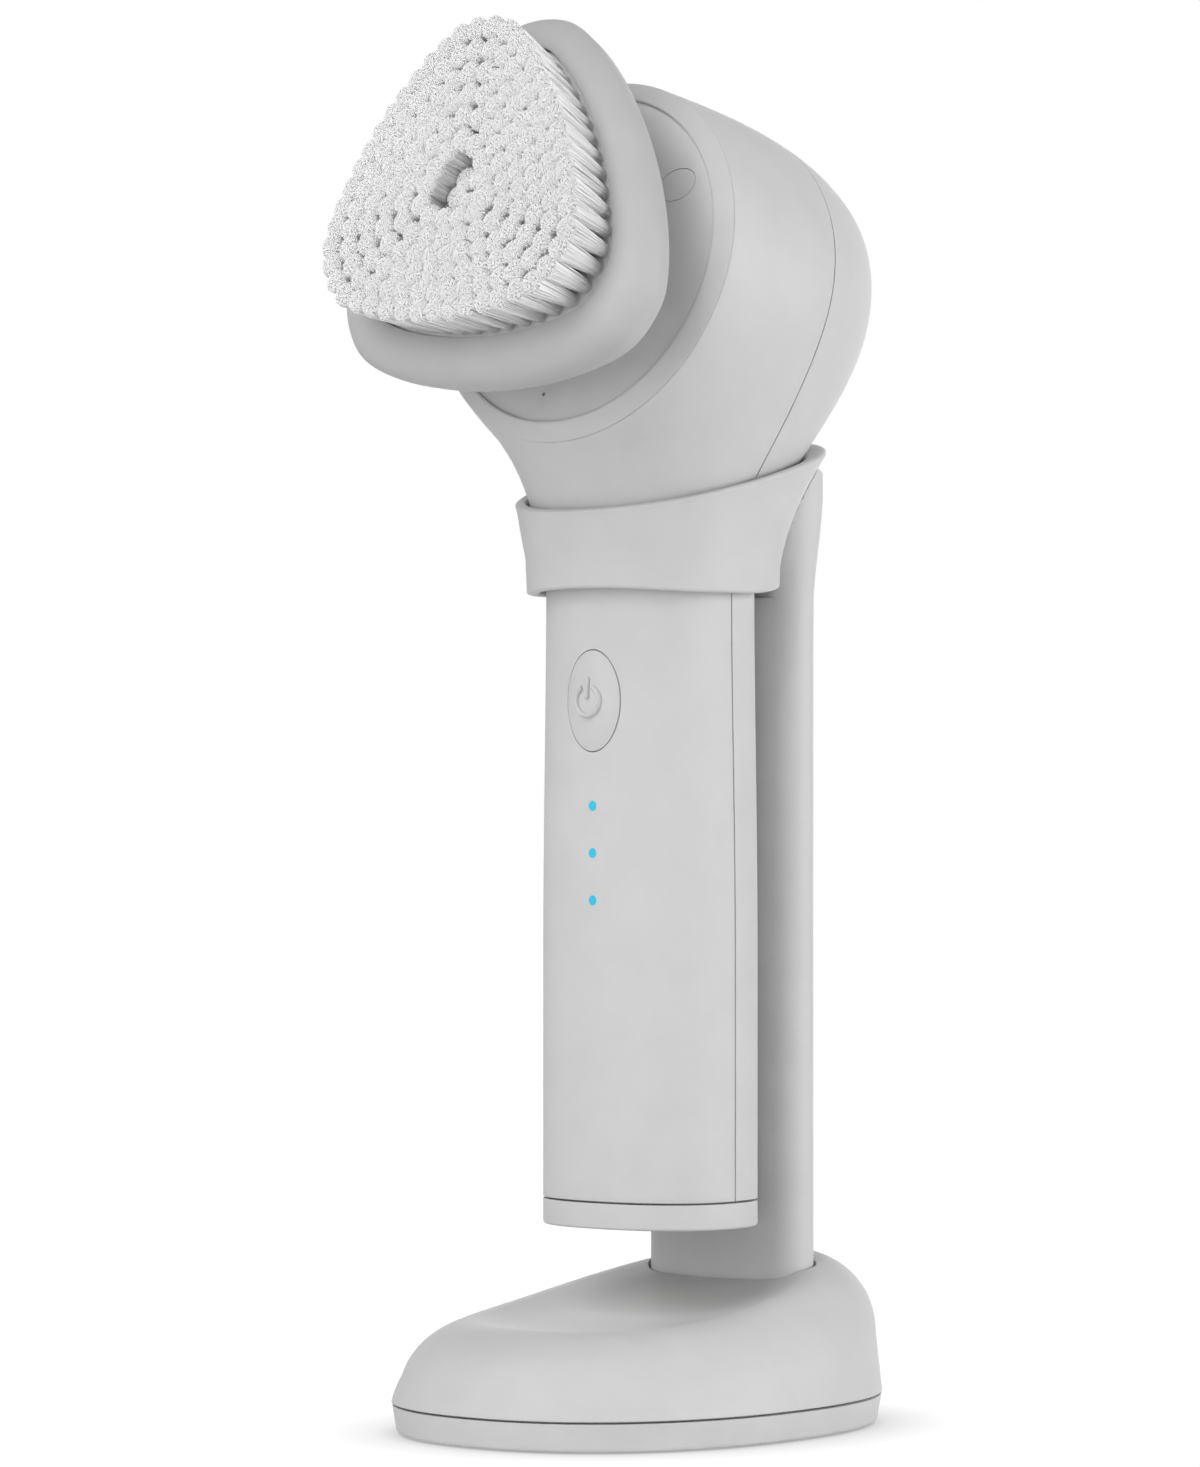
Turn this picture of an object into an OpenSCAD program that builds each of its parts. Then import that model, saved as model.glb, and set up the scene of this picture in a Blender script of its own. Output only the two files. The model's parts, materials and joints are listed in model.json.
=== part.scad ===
// Cordless powered skin brush with an angled tufted head, hanging in its own stand.
// Millimetres. The origin is on the floor under the middle of the base, +Z is up and the
// brush faces -Y. Places on the head are given in the head's own frame: X across, Y up the
// face, Z along the shaft and out of the face.

/* [Base] */
// Width of the base, side to side
base_w = 68.6; // [62:0.2:80]
// Depth of the base, front to back
base_d = 86.2; // [80:0.2:100]
// Squareness of the base outline, 2 is an ellipse
base_n = 2.24; // [2:0.02:3]
// Height of the seam between base plate and base shell
base_seam_z = 4.9; // [3.6:0.1:6]
// Height of the base's top at mid depth
base_crest = 20; // [19:0.1:26]
// Rise of the top for each millimetre towards the rear
base_slope = 0.15; // [0.12:0.01:0.25]
// Upward bend of the top for each square millimetre
base_bend = 0.0026; // [0:0.0001:0.003]
// Rounding of the base's upper edge
base_round = 12.5; // [9:0.1:13]
// Inward draft of the base's side wall
base_draft = 1; // [0:0.1:2]
// Least height over which the draft runs
base_draft_h = 4; // [2:0.1:6]
// Wall of the base shell
base_wall = 2.4; // [1.8:0.1:3]
// Height of the base plate above the floor
plate_lift = 0.3; // [0.2:0.1:0.8]
// Bevel round the underside of the base plate
plate_bevel = 1.3; // [1:0.1:2.4]
// Thickness of the rubber foot pad
pad_sheet = 1.3; // [1:0.1:1.8]
// Margin from the base outline to the foot pad
pad_margin = 6; // [5:0.5:9]
// Thickness of the steel weight
weight_h = 6; // [4:0.5:7]

/* [Stand] */
// Width of the post
post_w = 32; // [28:0.2:36]
// Thickness of the post
post_t = 8; // [7:0.1:10]
// Gap from the grip's back to the post
post_gap = 2.6; // [1.6:0.1:4]
// Rearward flare of the post's top
post_flare = 3; // [0:0.1:4]
// Height of the post's top above the foot of the neck
post_rise = 17.7; // [15:0.1:18]
// Gap round the post in the base's slot
slot_gap = 0.5; // [0.3:0.1:1]
// How far the cradle reaches below the foot of the neck
cradle_drop = 3.5; // [2:0.1:6]
// Place of the cradle's rim on the neck's curve
cradle_rim = 0.215; // [0.18:0.005:0.225]
// Room for the widest part of the grip to lift through the cradle
lift_gap = 0.35; // [0.3:0.05:0.8]
// Gap between neck and cradle at the rim
rim_gap = 0.5; // [0.3:0.05:0.8]
// Wall of the cradle
cradle_wall = 2; // [1.6:0.1:3]
// Added thickness of the cradle's back at its foot, doubled at the rim
cradle_back = 1.5; // [0.5:0.1:2]
// Arch of the cradle's lower edge at the front
cradle_wave = 0.8; // [0:0.1:1.5]
// Rise of the cradle's lower edge at the back
cradle_tail = 2.6; // [0:0.1:3]
// Width of the cradle's tongue in the post
tongue_w = 12; // [8:0.5:16]

/* [Grip] */
// Width of the grip
grip_w = 35.4; // [34:0.2:40]
// Depth of the grip, front to back
grip_d = 28.8; // [28:0.2:34]
// Squareness of the grip's section, 2 is an ellipse
grip_n = 2.4; // [2.2:0.05:3]
// Place of the grip's middle behind the middle of the base
grip_y = 2.8; // [0:0.1:5]
// Narrowing of each side of the grip towards the neck
grip_taper = 0.8; // [0:0.1:1.2]
// Height of the end cap's underside above the floor
cap_z = 32.5; // [30:0.1:40]
// Height of the end cap
cap_h = 4.3; // [3.6:0.1:6]
// Length of the grip from the end cap to the foot of the neck
grip_len = 100.7; // [98:0.1:115]
// Wall of the grip's shells
shell_wall = 2; // [1.6:0.1:2.4]

/* [Head] */
// Backward lean of the face
head_tilt = 15; // [10:1:20]
// Radius of the face ring
face_r = 30.1; // [28:0.1:33]
// Height of the face's middle above the foot of the neck
face_rise = 49.3; // [46:0.1:54]
// Place of the face's middle in front of the grip's middle
face_reach = 16.35; // [13:0.05:19]
// Reach of the head's back behind the face's middle
back_reach = 57.6; // [52:0.1:62]
// Height of the hindmost point above the face's middle
back_rise = 0.8; // [-3:0.1:4]
// Straightness of the nape where it leaves the grip
nape_pull = 15; // [8:0.5:22]
// Roundness of the back below its hindmost point
back_pull = 19; // [12:0.5:24]
// Roundness of the back above its hindmost point
crown_pull = 18; // [12:0.5:22]
// Reach of the crown behind the face ring
crown_reach = 27; // [18:0.5:32]
// Lift of the crown behind the face ring
crown_lift = 6; // [0:0.5:10]
// Slope of the throat under the face ring
throat_angle = 38; // [25:1:45]
// Bias of the throat's bend towards the grip
throat_bias = 0.38; // [0.3:0.01:0.6]
// Half width that draws the neck's sides
neck_swell = 21.4; // [19:0.1:24]
// Half width that draws the head's sides
head_swell = 36.2; // [33:0.1:39]
// Height above the foot of the neck where the shells' seam bends back
seam_bend = 11.2; // [8:0.1:14]
// Width of the bevelled band of the face ring
ring_band = 2.7; // [2:0.1:4]
// Height of the band's inner edge
ring_rise = 1.9; // [1:0.1:3]
// Depth of the face below the band's inner edge
face_sink = 1; // [0.5:0.1:1.6]
// Length of the oval cover on the face
plug_l = 7.7; // [6:0.1:9]
// Width of the oval cover on the face
plug_w = 4.2; // [3:0.1:5]
// Diameter of the vent hole in the face
vent_d = 0.6; // [0.4:0.1:1]

/* [Controls] */
// Width of the power button
button_w = 10.9; // [9:0.1:12]
// Height of the power button
button_h = 16.2; // [13:0.1:18]
// Height of the button's middle above the end cap's seam
button_up = 80.3; // [76:0.1:84]
// Height of the button's domed middle above the grip
button_dome = 0.8; // [0.4:0.05:1]
// Travel of the button
button_travel = 0.6; // [0.3:0.05:0.7]
// Gap round the button
button_gap = 0.25; // [0.2:0.05:0.4]
// Diameter of the lit dots
led_d = 1.6; // [1.2:0.1:2.2]
// Spacing of the lit dots
led_pitch = 7.55; // [6:0.05:9]
// Height of the lowest dot above the end cap's seam
led_up = 48.2; // [44:0.1:52]

/* [Drive] */
// Diameter of the drive shaft
shaft_d = 4; // [3:0.1:5]
// Radial running gap of the shaft
run_gap = 0.05; // [0.02:0.01:0.1]
// Diameter of the motor can
motor_d = 22; // [20:0.5:24]
// Length of the motor can
motor_len = 24; // [20:0.5:26]
// Depth of the motor's flange below the face ring
motor_sink = 8.5; // [7:0.1:10]
// Length of the shaft in front of the face ring
shaft_out = 13; // [11:0.1:13.5]

/* [Brush head] */
// Width of the brush pad
pad_w = 63.2; // [58:0.2:70]
// Reach of the pad above the shaft
pad_top = 34.4; // [31:0.1:38]
// Reach of the pad below the shaft
pad_bottom = 26.9; // [24:0.1:30]
// Distance of the pad's back from the face ring
pad_back = 14.6; // [14:0.1:18]
// Height of the pad's side skirt
pad_skirt = 2.8; // [2:0.1:4]
// Inward taper of the skirt towards the back
pad_taper = 0.55; // [0.3:0.05:1]
// Height of the pad's rounded rim
pad_dome = 5; // [4:0.1:6]
// Inset of the rounded rim
pad_round = 5.6; // [4:0.1:5.8]
// Corner strength of the three-cornered outlines
tri_corner = 0.12; // [0.08:0.005:0.14]
// Flatness of the pad's sides
pad_flat = 0.0143; // [0.01:0.0001:0.026]
// Flatness of the bristle field's sides
field_flat = 0.021; // [0.01:0.0001:0.026]
// Width of the bristle field at its roots
field_w = 50; // [46:0.2:51.4]
// Reach of the field above the shaft
field_top = 28; // [25:0.1:28.6]
// Reach of the field below the shaft
field_bottom = 19.6; // [17:0.1:20.2]
// Depth of the field's floor below the pad's rim
field_sink = 1.2; // [0.6:0.1:1.6]
// Thickness of the bristles' backing
backing_t = 1.2; // [1:0.1:2]
// Length of the bristles
bristle_len = 11.8; // [9:0.1:13]
// Spread of the bristle tips
bristle_splay = 1.05; // [1:0.01:1.1]
// Upward set of the bristle tips
bristle_lift = 0.5; // [0:0.1:1.5]
// Rings of tufts
tuft_rings = 8; // [7:1:9]

/* [Hidden] */
$fn = 48;
grey = [0.80, 0.80, 0.80];
dark_grey = [0.63, 0.63, 0.63];
rubber_grey = [0.30, 0.30, 0.31];
steel = [0.72, 0.73, 0.75];
brass = [0.80, 0.66, 0.35];
board_green = [0.10, 0.36, 0.22];
cell_blue = [0.16, 0.30, 0.55];
led_cyan = [0.20, 0.76, 0.92];
nylon = [0.95, 0.95, 0.95];

// Points on a quarter of an outline, and from them the points all round
base_quarter = 12;
base_pts = 4 * base_quarter;
skin_quarter = 10;
skin_pts = 4 * skin_quarter;
pad_quarter = 15;
pad_pts = 4 * pad_quarter;
neck_steps = 16;
fit_gap = 0.2;
seat_gap = 0.02;
past = 1;

// Places along the grip
grip_hw = grip_w / 2;
grip_hd = grip_d / 2;
grip_front = grip_y - grip_hd;
grip_rear = grip_y + grip_hd;
neck_hw = grip_hw - grip_taper;
cap_seam_z = cap_z + cap_h;
elbow_z = cap_seam_z + grip_len;
taper_z = cap_seam_z + 0.4 * grip_len;

// The face's middle and the face ring's lowest and highest points, as [y, z]
face_y = grip_y - face_reach;
face_z = elbow_z + face_rise;
face_up = [sin(head_tilt), cos(head_tilt)];
ring_low = [face_y, face_z] - face_r * face_up;
ring_high = [face_y, face_z] + face_r * face_up;

// Corners of the neck's side profile, as [y, z]
nape = [grip_rear, elbow_z];
back = [face_y + back_reach, face_z + back_rise];
crown_turn = crown_lift - head_tilt;
throat_turn = -throat_angle - head_tilt;
throat = [grip_front, ring_low[1] + (grip_front - ring_low[0]) * tan(throat_turn)];

// The stand behind the grip
post_front = grip_rear + post_gap;
post_mid = post_front + post_t / 2;
post_top_z = elbow_z + post_rise;
post_flare_h = 20;
post_edge = 1.2;
post_skin = 1.8;
post_cut_gap = 0.12;
low_gap = grip_taper + lift_gap;
cradle_z = elbow_z - cradle_drop;
tongue_foot = cradle_tail + 1;
tongue_h = tongue_foot + 3.2;
tongue_deep = 3.2;

// Screws of the base
screw_r = 1.25;
screw_head_r = 2.8;
screw_head_h = 1.5;
screw_bite = 7.6;
post_screw_bite = 10;
pilot_spare = 0.6;
pilot_gap = 0.05;
base_screw_x = 0.5 * base_w / 2;
base_screw_y = [-0.22 * base_d, 0.1 * base_d];
base_boss_r = 3.2;
post_screw_x = 0.28 * post_w;
screw_seat_z = pad_sheet + screw_head_h + fit_gap / 2;

// What lies behind the grip's front wall, from front to back
wall_back = grip_front + shell_wall;
seal_front = wall_back + 0.9;
seal_t = 0.5;
flange_front = seal_front + seal_t + 0.1;
flange_t = 0.6;
flange_edge = 1;
switch_front = flange_front + flange_t + button_travel + 0.05;
switch_h = 1.55;
board_front = switch_front + switch_h;
board_t = 1.2;
board_back = board_front + board_t;

// The chassis, the board and the cell
rail_t = 1.6;
rail_room = 3.3;
rail_x = neck_hw - shell_wall - rail_room - rail_t;
board_hw = rail_x - fit_gap;
cell_gap = 0.55;
cell_room = [board_back + cell_gap, grip_rear - shell_wall - cell_gap];
cell_r = min((cell_room[1] - cell_room[0]) / 2, rail_x - cell_gap);
cell_y = (cell_room[0] + cell_room[1]) / 2;
cell_len = 65;
cell_lift = 8;
cell_z = cap_seam_z + cell_lift;
cell_tip_h = 0.8;
bulkhead_t = 2;
board_margin = 6;
board_low = cap_seam_z + led_up - board_margin;
board_high = cap_seam_z + button_up + button_h / 2 + 1.5;
button_z = cap_seam_z + button_up;
led_z = [for (i = [0 : 2]) cap_seam_z + led_up + (2 - i) * led_pitch];
button_crown_r = 39;

// The drive, along the head's own Z
shaft_r = shaft_d / 2;
bush_r = shaft_r + 1;
boss_r = bush_r + 2;
motor_r = motor_d / 2;
can_wall = 1.5;
flange_z = -motor_sink;
flange_h = 1.5;
can_front = flange_z - flange_h;
can_back = can_front - motor_len;
boss_out = 3.5;
end_t = 2;
end_boss = 2.6;
rotor_gap = 0.6;
rotor_front = can_front - 2;
rotor_back = can_back + end_boss + 1.4;
mount_ring = motor_r + 6;
stand_r = 3;
motor_screw_r = 0.9;
face_front = ring_rise - face_sink;
face_t = 2.3;
face_back = face_front - face_t;
face_hole_r = face_r - ring_band - 0.4;
seal_r = shaft_r + 2.5;
plug_at = 21.4;
plug_deep = 1;
vent_at = [-2.7, -22.3];

// The brush head, along the head's own Z
pad_crease = pad_back + pad_skirt;
pad_front = pad_crease + pad_dome;
plate_t = 2;
plate_inset = 4;
hub_r = shaft_r + 4;
hub_back = 3.2;
clip_z = hub_back + 2.8;
clip_h = 1;
clip_t = 0.8;
field_floor = pad_front - field_sink;
field_mid = (field_top - field_bottom) / 2;
bare_step = 0.6;
strand_root = 0.62;
strand_tip = 0.72;

// Curves and outlines

function soft(v) = let (c = min(1, max(0, v))) c * c * (3 - 2 * c);
function power(v, e) = sign(v) * pow(abs(v), e);

// Point of a curve drawn by three or four control points
function bend3(p, t) = (1 - t) * (1 - t) * p[0] + 2 * t * (1 - t) * p[1] + t * t * p[2];
function bend4(p, t) = (1 - t) * bend3([p[0], p[1], p[2]], t) + t * bend3([p[1], p[2], p[3]], t);

// Rounded oval of half sizes a and b, none of its points on the axes
function oval(a, b, n, count) = [
    for (i = [0 : count - 1])
    let (t = 360 * (i + 0.5) / count)
    [a * power(cos(t), 2 / n), b * power(sin(t), 2 / n)]
];

// Outline with two straight sides and round ends
function stadium(w, t, count) = [
    for (i = [0 : count - 1])
    let (a = 360 * (i + 0.5) / count)
    [t / 2 * cos(a) + (w - t) / 2 * sign(cos(a)), t / 2 * sin(a)]
];

// Three-cornered outline with one corner up, at angle t of its normal
function three_corner(w, top, bottom, flat, t) =
    let (
        a = tri_corner,
        b = -flat,
        h = 1 + a * cos(3 * (t - 90)) + b * cos(6 * (t - 90)),
        turn = -3 * a * sin(3 * (t - 90)) - 6 * b * sin(6 * (t - 90)),
        tall = (top + bottom) / (2 + 2 * b)
    )
    [
        w / 2 / (1 - b) * (h * cos(t) - turn * sin(t)),
        top - tall * (1 + a + b) + tall * (h * sin(t) + turn * cos(t))
    ];
function pad_outline(inset) = [
    for (i = [0 : pad_pts - 1])
    three_corner(pad_w - 2 * inset, pad_top - inset, pad_bottom - inset, pad_flat, 360 * (i + 0.5) / pad_pts)
];
function field_outline(grow) = [
    for (i = [0 : pad_pts - 1])
    let (t = 360 * (i + 0.5) / pad_pts)
    three_corner(field_w + 2 * grow, field_top + grow, field_bottom + grow, field_flat, t)
];
function at_height(outline, z) = [for (p = outline) [p[0], p[1], z]];

// Solids

// Side triangles between ring i and the next, for rings of m points out of count
function band(i, m, count) = [
    for (j = [0 : m - 1])
    let (
        k = (j + 1) % m,
        up = ((i + 1) % count) * m
    )
    each [[i * m + j, up + j, up + k], [i * m + j, up + k, i * m + k]]
];

// Strip of triangles over a ring of m points, between its two halves
function ring_cover(m) = [
    for (j = [0 : m / 2 - 2])
    each [[j, j + 1, m - 2 - j], [j, m - 2 - j, m - 1 - j]]
];

// Closed solid through rings of equal, even point counts, from the lowest up
module loft(rings) {
    m = len(rings[0]);
    last = len(rings) - 1;
    sides = [for (i = [0 : last - 1]) each band(i, m, last + 1)];
    roof_faces = [for (f = ring_cover(m)) last * m * [1, 1, 1] + [f[0], f[2], f[1]]];
    polyhedron([for (ring = rings) each ring], concat(sides, ring_cover(m), roof_faces));
}

// Closed hoop whose section runs up the outside and down the inside
module hoop(rings) {
    m = len(rings[0]);
    count = len(rings);
    polyhedron([for (ring = rings) each ring], [for (i = [0 : count - 1]) each band(i, m, count)]);
}

// Prism of an outline in XZ, from y0 back to y1
module xz_prism(outline, y0, y1) {
    translate([0, y1, 0])
        rotate([90, 0, 0])
            linear_extrude(y1 - y0) polygon(outline);
}

// Rod along Y
module y_rod(r, z, y0, y1) {
    translate([0, y1, z])
        rotate([90, 0, 0])
            cylinder(h = y1 - y0, r = r);
}

// Rod along Z from z0 to z1
module rod(r, z0, z1) {
    translate([0, 0, z0]) cylinder(h = z1 - z0, r = r);
}

// Sleeve along Z
module sleeve(r_out, r_in, z0, z1) {
    difference() {
        rod(r_out, z0, z1);
        rod(r_in, z0 - past, z1 + past);
    }
}

// Box from corner to corner
module block(low, high) {
    translate(low) cube(high - low);
}

module head_frame() {
    translate([0, face_y, face_z])
        rotate([90 - head_tilt, 0, 0])
            children();
}

module at_base_screws() {
    for (x = [-base_screw_x, base_screw_x], y = base_screw_y)
        translate([x, y, 0]) children();
}

module at_post_screws() {
    for (x = [-post_screw_x, post_screw_x])
        translate([x, post_mid, 0]) children();
}

module at_motor_screws() {
    for (a = [90, 210, 330])
        rotate(a) translate([mount_ring, 0, 0]) children();
}

// Base

function base_top(y) = base_crest + base_slope * y + base_bend * y * y;

// Ring of the base's skin on its upper rounding, turn 0 at the wall and 90 on the top
function base_round_ring(turn, wall, foot_z) = [
    for (p = oval(
        base_w / 2 - wall - base_round * (1 - cos(turn)),
        base_d / 2 - wall - base_round * (1 - cos(turn)), base_n, base_pts))
    let (
        top = base_top(p[1] * (1 - 2 * base_draft / base_d)) - wall,
        drop = min(base_round, top - foot_z - 0.4),
        z = top - drop * (1 - sin(turn)),
        draft = base_draft * min(1, (z - foot_z) / max(base_draft_h, top - drop - foot_z))
    )
    [p[0] * (1 - 2 * draft / base_w), p[1] * (1 - 2 * draft / base_d), z]
];

// Ring on the base's top, share 1 at the rounding's edge
function base_top_ring(share, wall) = [
    for (p = oval(
        share * (base_w / 2 - wall - base_draft - base_round),
        share * (base_d / 2 - wall - base_draft - base_round), base_n, base_pts))
    [p[0], p[1], base_top(p[1]) - wall]
];

module base_form(wall, foot_z) {
    loft(concat(
        [at_height(oval(base_w / 2 - wall, base_d / 2 - wall, base_n, base_pts), foot_z)],
        [for (turn = [0 : 18 : 90]) base_round_ring(turn, wall, foot_z)],
        [for (share = [0.75, 0.5, 0.25, 0.08]) base_top_ring(share, wall)]
    ));
}

module post_slot(gap, z0, z1) {
    translate([0, post_mid, z0])
        linear_extrude(z1 - z0) polygon(stadium(post_w + 2 * gap, post_t + 2 * gap, 32));
}

module base_shell() color(grey) difference() {
    union() {
        difference() {
            base_form(0, base_seam_z);
            base_form(base_wall, base_seam_z - past);
        }
        screw_bosses();
    }
    post_slot(slot_gap, base_seam_z - past, 2 * base_crest);
    at_base_screws() rod(screw_r + pilot_gap, base_seam_z - past, base_seam_z + screw_bite + pilot_spare);
}

// Bosses that reach up into the base shell's roof
module screw_bosses() {
    for (x = [-base_screw_x, base_screw_x], y = base_screw_y)
        translate([x, y, 0]) rod(base_boss_r, base_seam_z, base_top(y) - base_wall + 0.5);
}

// Ring of the base plate's edge at height z, inset by a share of the bevel
function plate_ring(z, share) =
    let (inset = share * plate_bevel)
    at_height(oval(base_w / 2 - inset, base_d / 2 - inset, base_n, base_pts), z);

module base_plate() color(grey) difference() {
    loft([
        plate_ring(plate_lift, 1), plate_ring(plate_lift + 0.15, 0.75),
        plate_ring(plate_lift + 0.5, 0.55), plate_ring(base_seam_z, 0.08)
    ]);
    foot_pad_form(fit_gap, -past);
    at_base_screws() screw_hole();
    at_post_screws() screw_hole();
}

module screw_hole() {
    rod(screw_r + 0.2, 0, base_seam_z + past);
    rod(screw_head_r + 0.2, 0, screw_seat_z);
}

module foot_pad_form(grow, z0) {
    translate([0, 0, z0])
        linear_extrude(pad_sheet - z0)
            polygon(oval(base_w / 2 - pad_margin + grow, base_d / 2 - pad_margin + grow, base_n, base_pts));
}

module foot_pad() color(rubber_grey) foot_pad_form(0, 0);

module base_weight() color(steel) difference() {
    translate([0, 0, base_seam_z])
        linear_extrude(weight_h)
            polygon(oval(base_w / 2 - 2.6 * base_wall, base_d / 2 - 5 * base_wall, base_n, base_pts));
    at_base_screws() rod(base_boss_r + fit_gap, base_seam_z - past, base_seam_z + weight_h + past);
    block(
        [-base_w, post_front - slot_gap, base_seam_z - past],
        [base_w, base_d, base_seam_z + weight_h + past]
    );
}

module screw(z_tip) {
    rod(screw_head_r, screw_seat_z - screw_head_h, screw_seat_z);
    rod(screw_r, screw_seat_z, z_tip);
}

module base_screws() color(steel) at_base_screws() screw(base_seam_z + screw_bite);

module post_screws() color(steel) at_post_screws() screw(base_seam_z + post_screw_bite);

// Grip and head skin

// Side profile of the neck at share s of its length: [front point, back point, half width, squareness]
function neck_station(s) =
    let (
        crown = ring_high + crown_reach * [cos(crown_turn), sin(crown_turn)],
        rear = s <= 0.5
            ? bend4([nape, nape + [0, nape_pull], back - [0, back_pull], back], 2 * s)
            : bend4([back, back + [0, crown_pull], crown, ring_high], 2 * s - 1),
        front = bend3([[grip_front, elbow_z], throat, ring_low], pow(s, throat_bias)),
        half = bend4([neck_hw, neck_swell, head_swell, face_r], s)
    )
    [front, rear, half, grip_n + (2 - grip_n) * min(1, 1.4 * s)];

function grip_station(z) = [
    [grip_front, z], [grip_rear, z],
    grip_hw - grip_taper * soft((z - taper_z) / (elbow_z - taper_z)), grip_n
];

// Ring of points round a station, moved outwards by grow
function skin_ring(st, grow) =
    let (
        across = st[1] - st[0],
        unit = across / norm(across),
        mid = (st[0] + st[1]) / 2,
        deep = norm(across) / 2 + grow
    )
    [
        for (p = oval(st[2] + grow, deep, st[3], skin_pts))
        [p[0], mid[0] + unit[0] * p[1], mid[1] + unit[1] * p[1]]
    ];
function moved(ring, step) = [for (p = ring) p + step];

grip_stations = [for (z = [cap_seam_z, taper_z, (taper_z + elbow_z) / 2, elbow_z]) grip_station(z)];
neck_stations = [for (i = [1 : neck_steps]) neck_station(i / neck_steps)];
out_of_face = [0, -cos(head_tilt), sin(head_tilt)];

module skin_solid() {
    loft([for (st = concat(grip_stations, neck_stations)) skin_ring(st, 0)]);
}

module skin_hollow() {
    rings = [for (st = concat(grip_stations, neck_stations)) skin_ring(st, -shell_wall)];
    loft(concat(
        [moved(rings[0], [0, 0, -past])],
        rings,
        [moved(rings[len(rings) - 1], past * out_of_face)]
    ));
}

// Everything in front of the shells' seam
module seam_front() {
    low = cap_seam_z - 2 * past;
    high = face_z + 2 * face_r;
    bend_z = elbow_z + seam_bend;
    far = grip_front - 2 * face_r;
    rotate([90, 0, 90])
        linear_extrude(4 * face_r, center = true)
            polygon([
                [far, low], [grip_y, low], [grip_y, bend_z],
                [grip_y + (high - bend_z) * tan(head_tilt), high], [far, high]
            ]);
}

function button_outline(grow) = [
    for (i = [0 : 47])
    [(button_w / 2 + grow) * cos(7.5 * i), button_z + (button_h / 2 + grow) * sin(7.5 * i)]
];

module front_shell() color(grey) difference() {
    intersection() {
        difference() {
            skin_solid();
            skin_hollow();
        }
        seam_front();
    }
    xz_prism(button_outline(button_gap), grip_front - past, seal_front);
    for (z = led_z)
        y_rod(led_d / 2 + seat_gap, z, grip_front - past, seal_front);
}

module rear_shell() color(grey) difference() {
    skin_solid();
    skin_hollow();
    seam_front();
}

module bezel_ring() color(grey) head_frame() rotate_extrude($fn = 96) polygon([
    [face_hole_r - 2.5, face_back - 1.6], [face_r - shell_wall - 0.4, face_back - 1.6],
    [face_r - shell_wall - 0.4, 0], [face_r, 0], [face_r, 0.2],
    [face_r - ring_band, ring_rise], [face_hole_r, ring_rise],
    [face_hole_r, face_back], [face_hole_r - 2.5, face_back]
]);

module face_plug_form(grow, z0, z1) {
    outline = [for (i = [0 : 39]) [(plug_l / 2 + grow) * cos(9 * i), (plug_w / 2 + grow) * sin(9 * i)]];
    rotate(30)
        translate([plug_at, 0, z0])
            linear_extrude(z1 - z0) polygon(outline);
}

module face_plate() color(dark_grey) head_frame() difference() {
    union() {
        rod(face_hole_r - 0.1, face_back, face_front);
        at_motor_screws() rod(stand_r, flange_z, face_back + 0.5);
    }
    rod(seal_r + seat_gap, face_back - past, face_front + past);
    at_motor_screws() rod(motor_screw_r + 0.05, flange_z - past, face_back - 1.2);
    face_plug_form(0.1, face_front - plug_deep, face_front + past);
    translate([vent_at[0], vent_at[1], 0]) rod(vent_d / 2, face_back - past, face_front + past);
}

module face_plug() color(dark_grey) head_frame()
    face_plug_form(0, face_front - plug_deep, face_front);

function cap_outline(inset) = oval(grip_hw - inset, grip_hd - inset, grip_n, skin_pts);
function cap_ring(z, inset) = [for (p = cap_outline(inset)) [p[0], p[1] + grip_y, z]];

cap_in = shell_wall + fit_gap;
groove_in = cap_in + 1.1;
groove_low = cap_seam_z + 1;
groove_high = groove_low + 1.4;

module end_cap() color(grey) difference() {
    loft([
        cap_ring(cap_z, 0.5), cap_ring(cap_z + 0.15, 0.15), cap_ring(cap_z + 0.5, 0),
        cap_ring(cap_seam_z, 0), cap_ring(cap_seam_z, cap_in), cap_ring(groove_low, cap_in),
        cap_ring(groove_low, groove_in), cap_ring(groove_high, groove_in),
        cap_ring(groove_high, cap_in), cap_ring(cap_seam_z + 3.6, cap_in)
    ]);
    charge_pins(0.05);
}

module cap_seal() color(rubber_grey)
    translate([0, grip_y, groove_low + 0.1])
        linear_extrude(groove_high - groove_low - 0.2)
            difference() {
                polygon(cap_outline(shell_wall + 0.1));
                polygon(cap_outline(groove_in - 0.1));
            }

module charge_pins(grow) {
    for (x = [-5, 5])
        translate([x, grip_y, 0]) rod(2 + grow, cap_z - (grow > 0 ? past : 0), cap_z + 2.6 + grow);
}

module charge_contacts() color(brass) charge_pins(0);

// Controls

// Ring of the button at depth y
function button_ring(grow, y) = at_height(button_outline(grow), -y);

// Ring on the button's crown at a share of its outline, share 1 flush with the grip
function crown_ring(share, proud) = [
    for (p = button_outline(0))
    let (
        x = share * p[0],
        z = button_z + share * (p[1] - button_z)
    )
    [x, z, button_dome * (1 - share * share) + proud - grip_front - x * x / 2 / button_crown_r]
];

// Domed body of the button, with or without the flange at its back
module button_body(proud, flange) {
    back = flange_front + flange_t;
    rotate([90, 0, 0])
        loft(concat(
            flange ? [button_ring(flange_edge, back), button_ring(flange_edge, flange_front)] : [],
            [button_ring(0, flange_front)],
            [for (share = [1, 0.9, 0.75, 0.55, 0.3, 0.08]) crown_ring(share, proud)]
        ));
}

module power_button() color(grey) {
    button_body(0, true);
    intersection() {
        button_body(0.15, false);
        power_symbol();
    }
}

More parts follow.
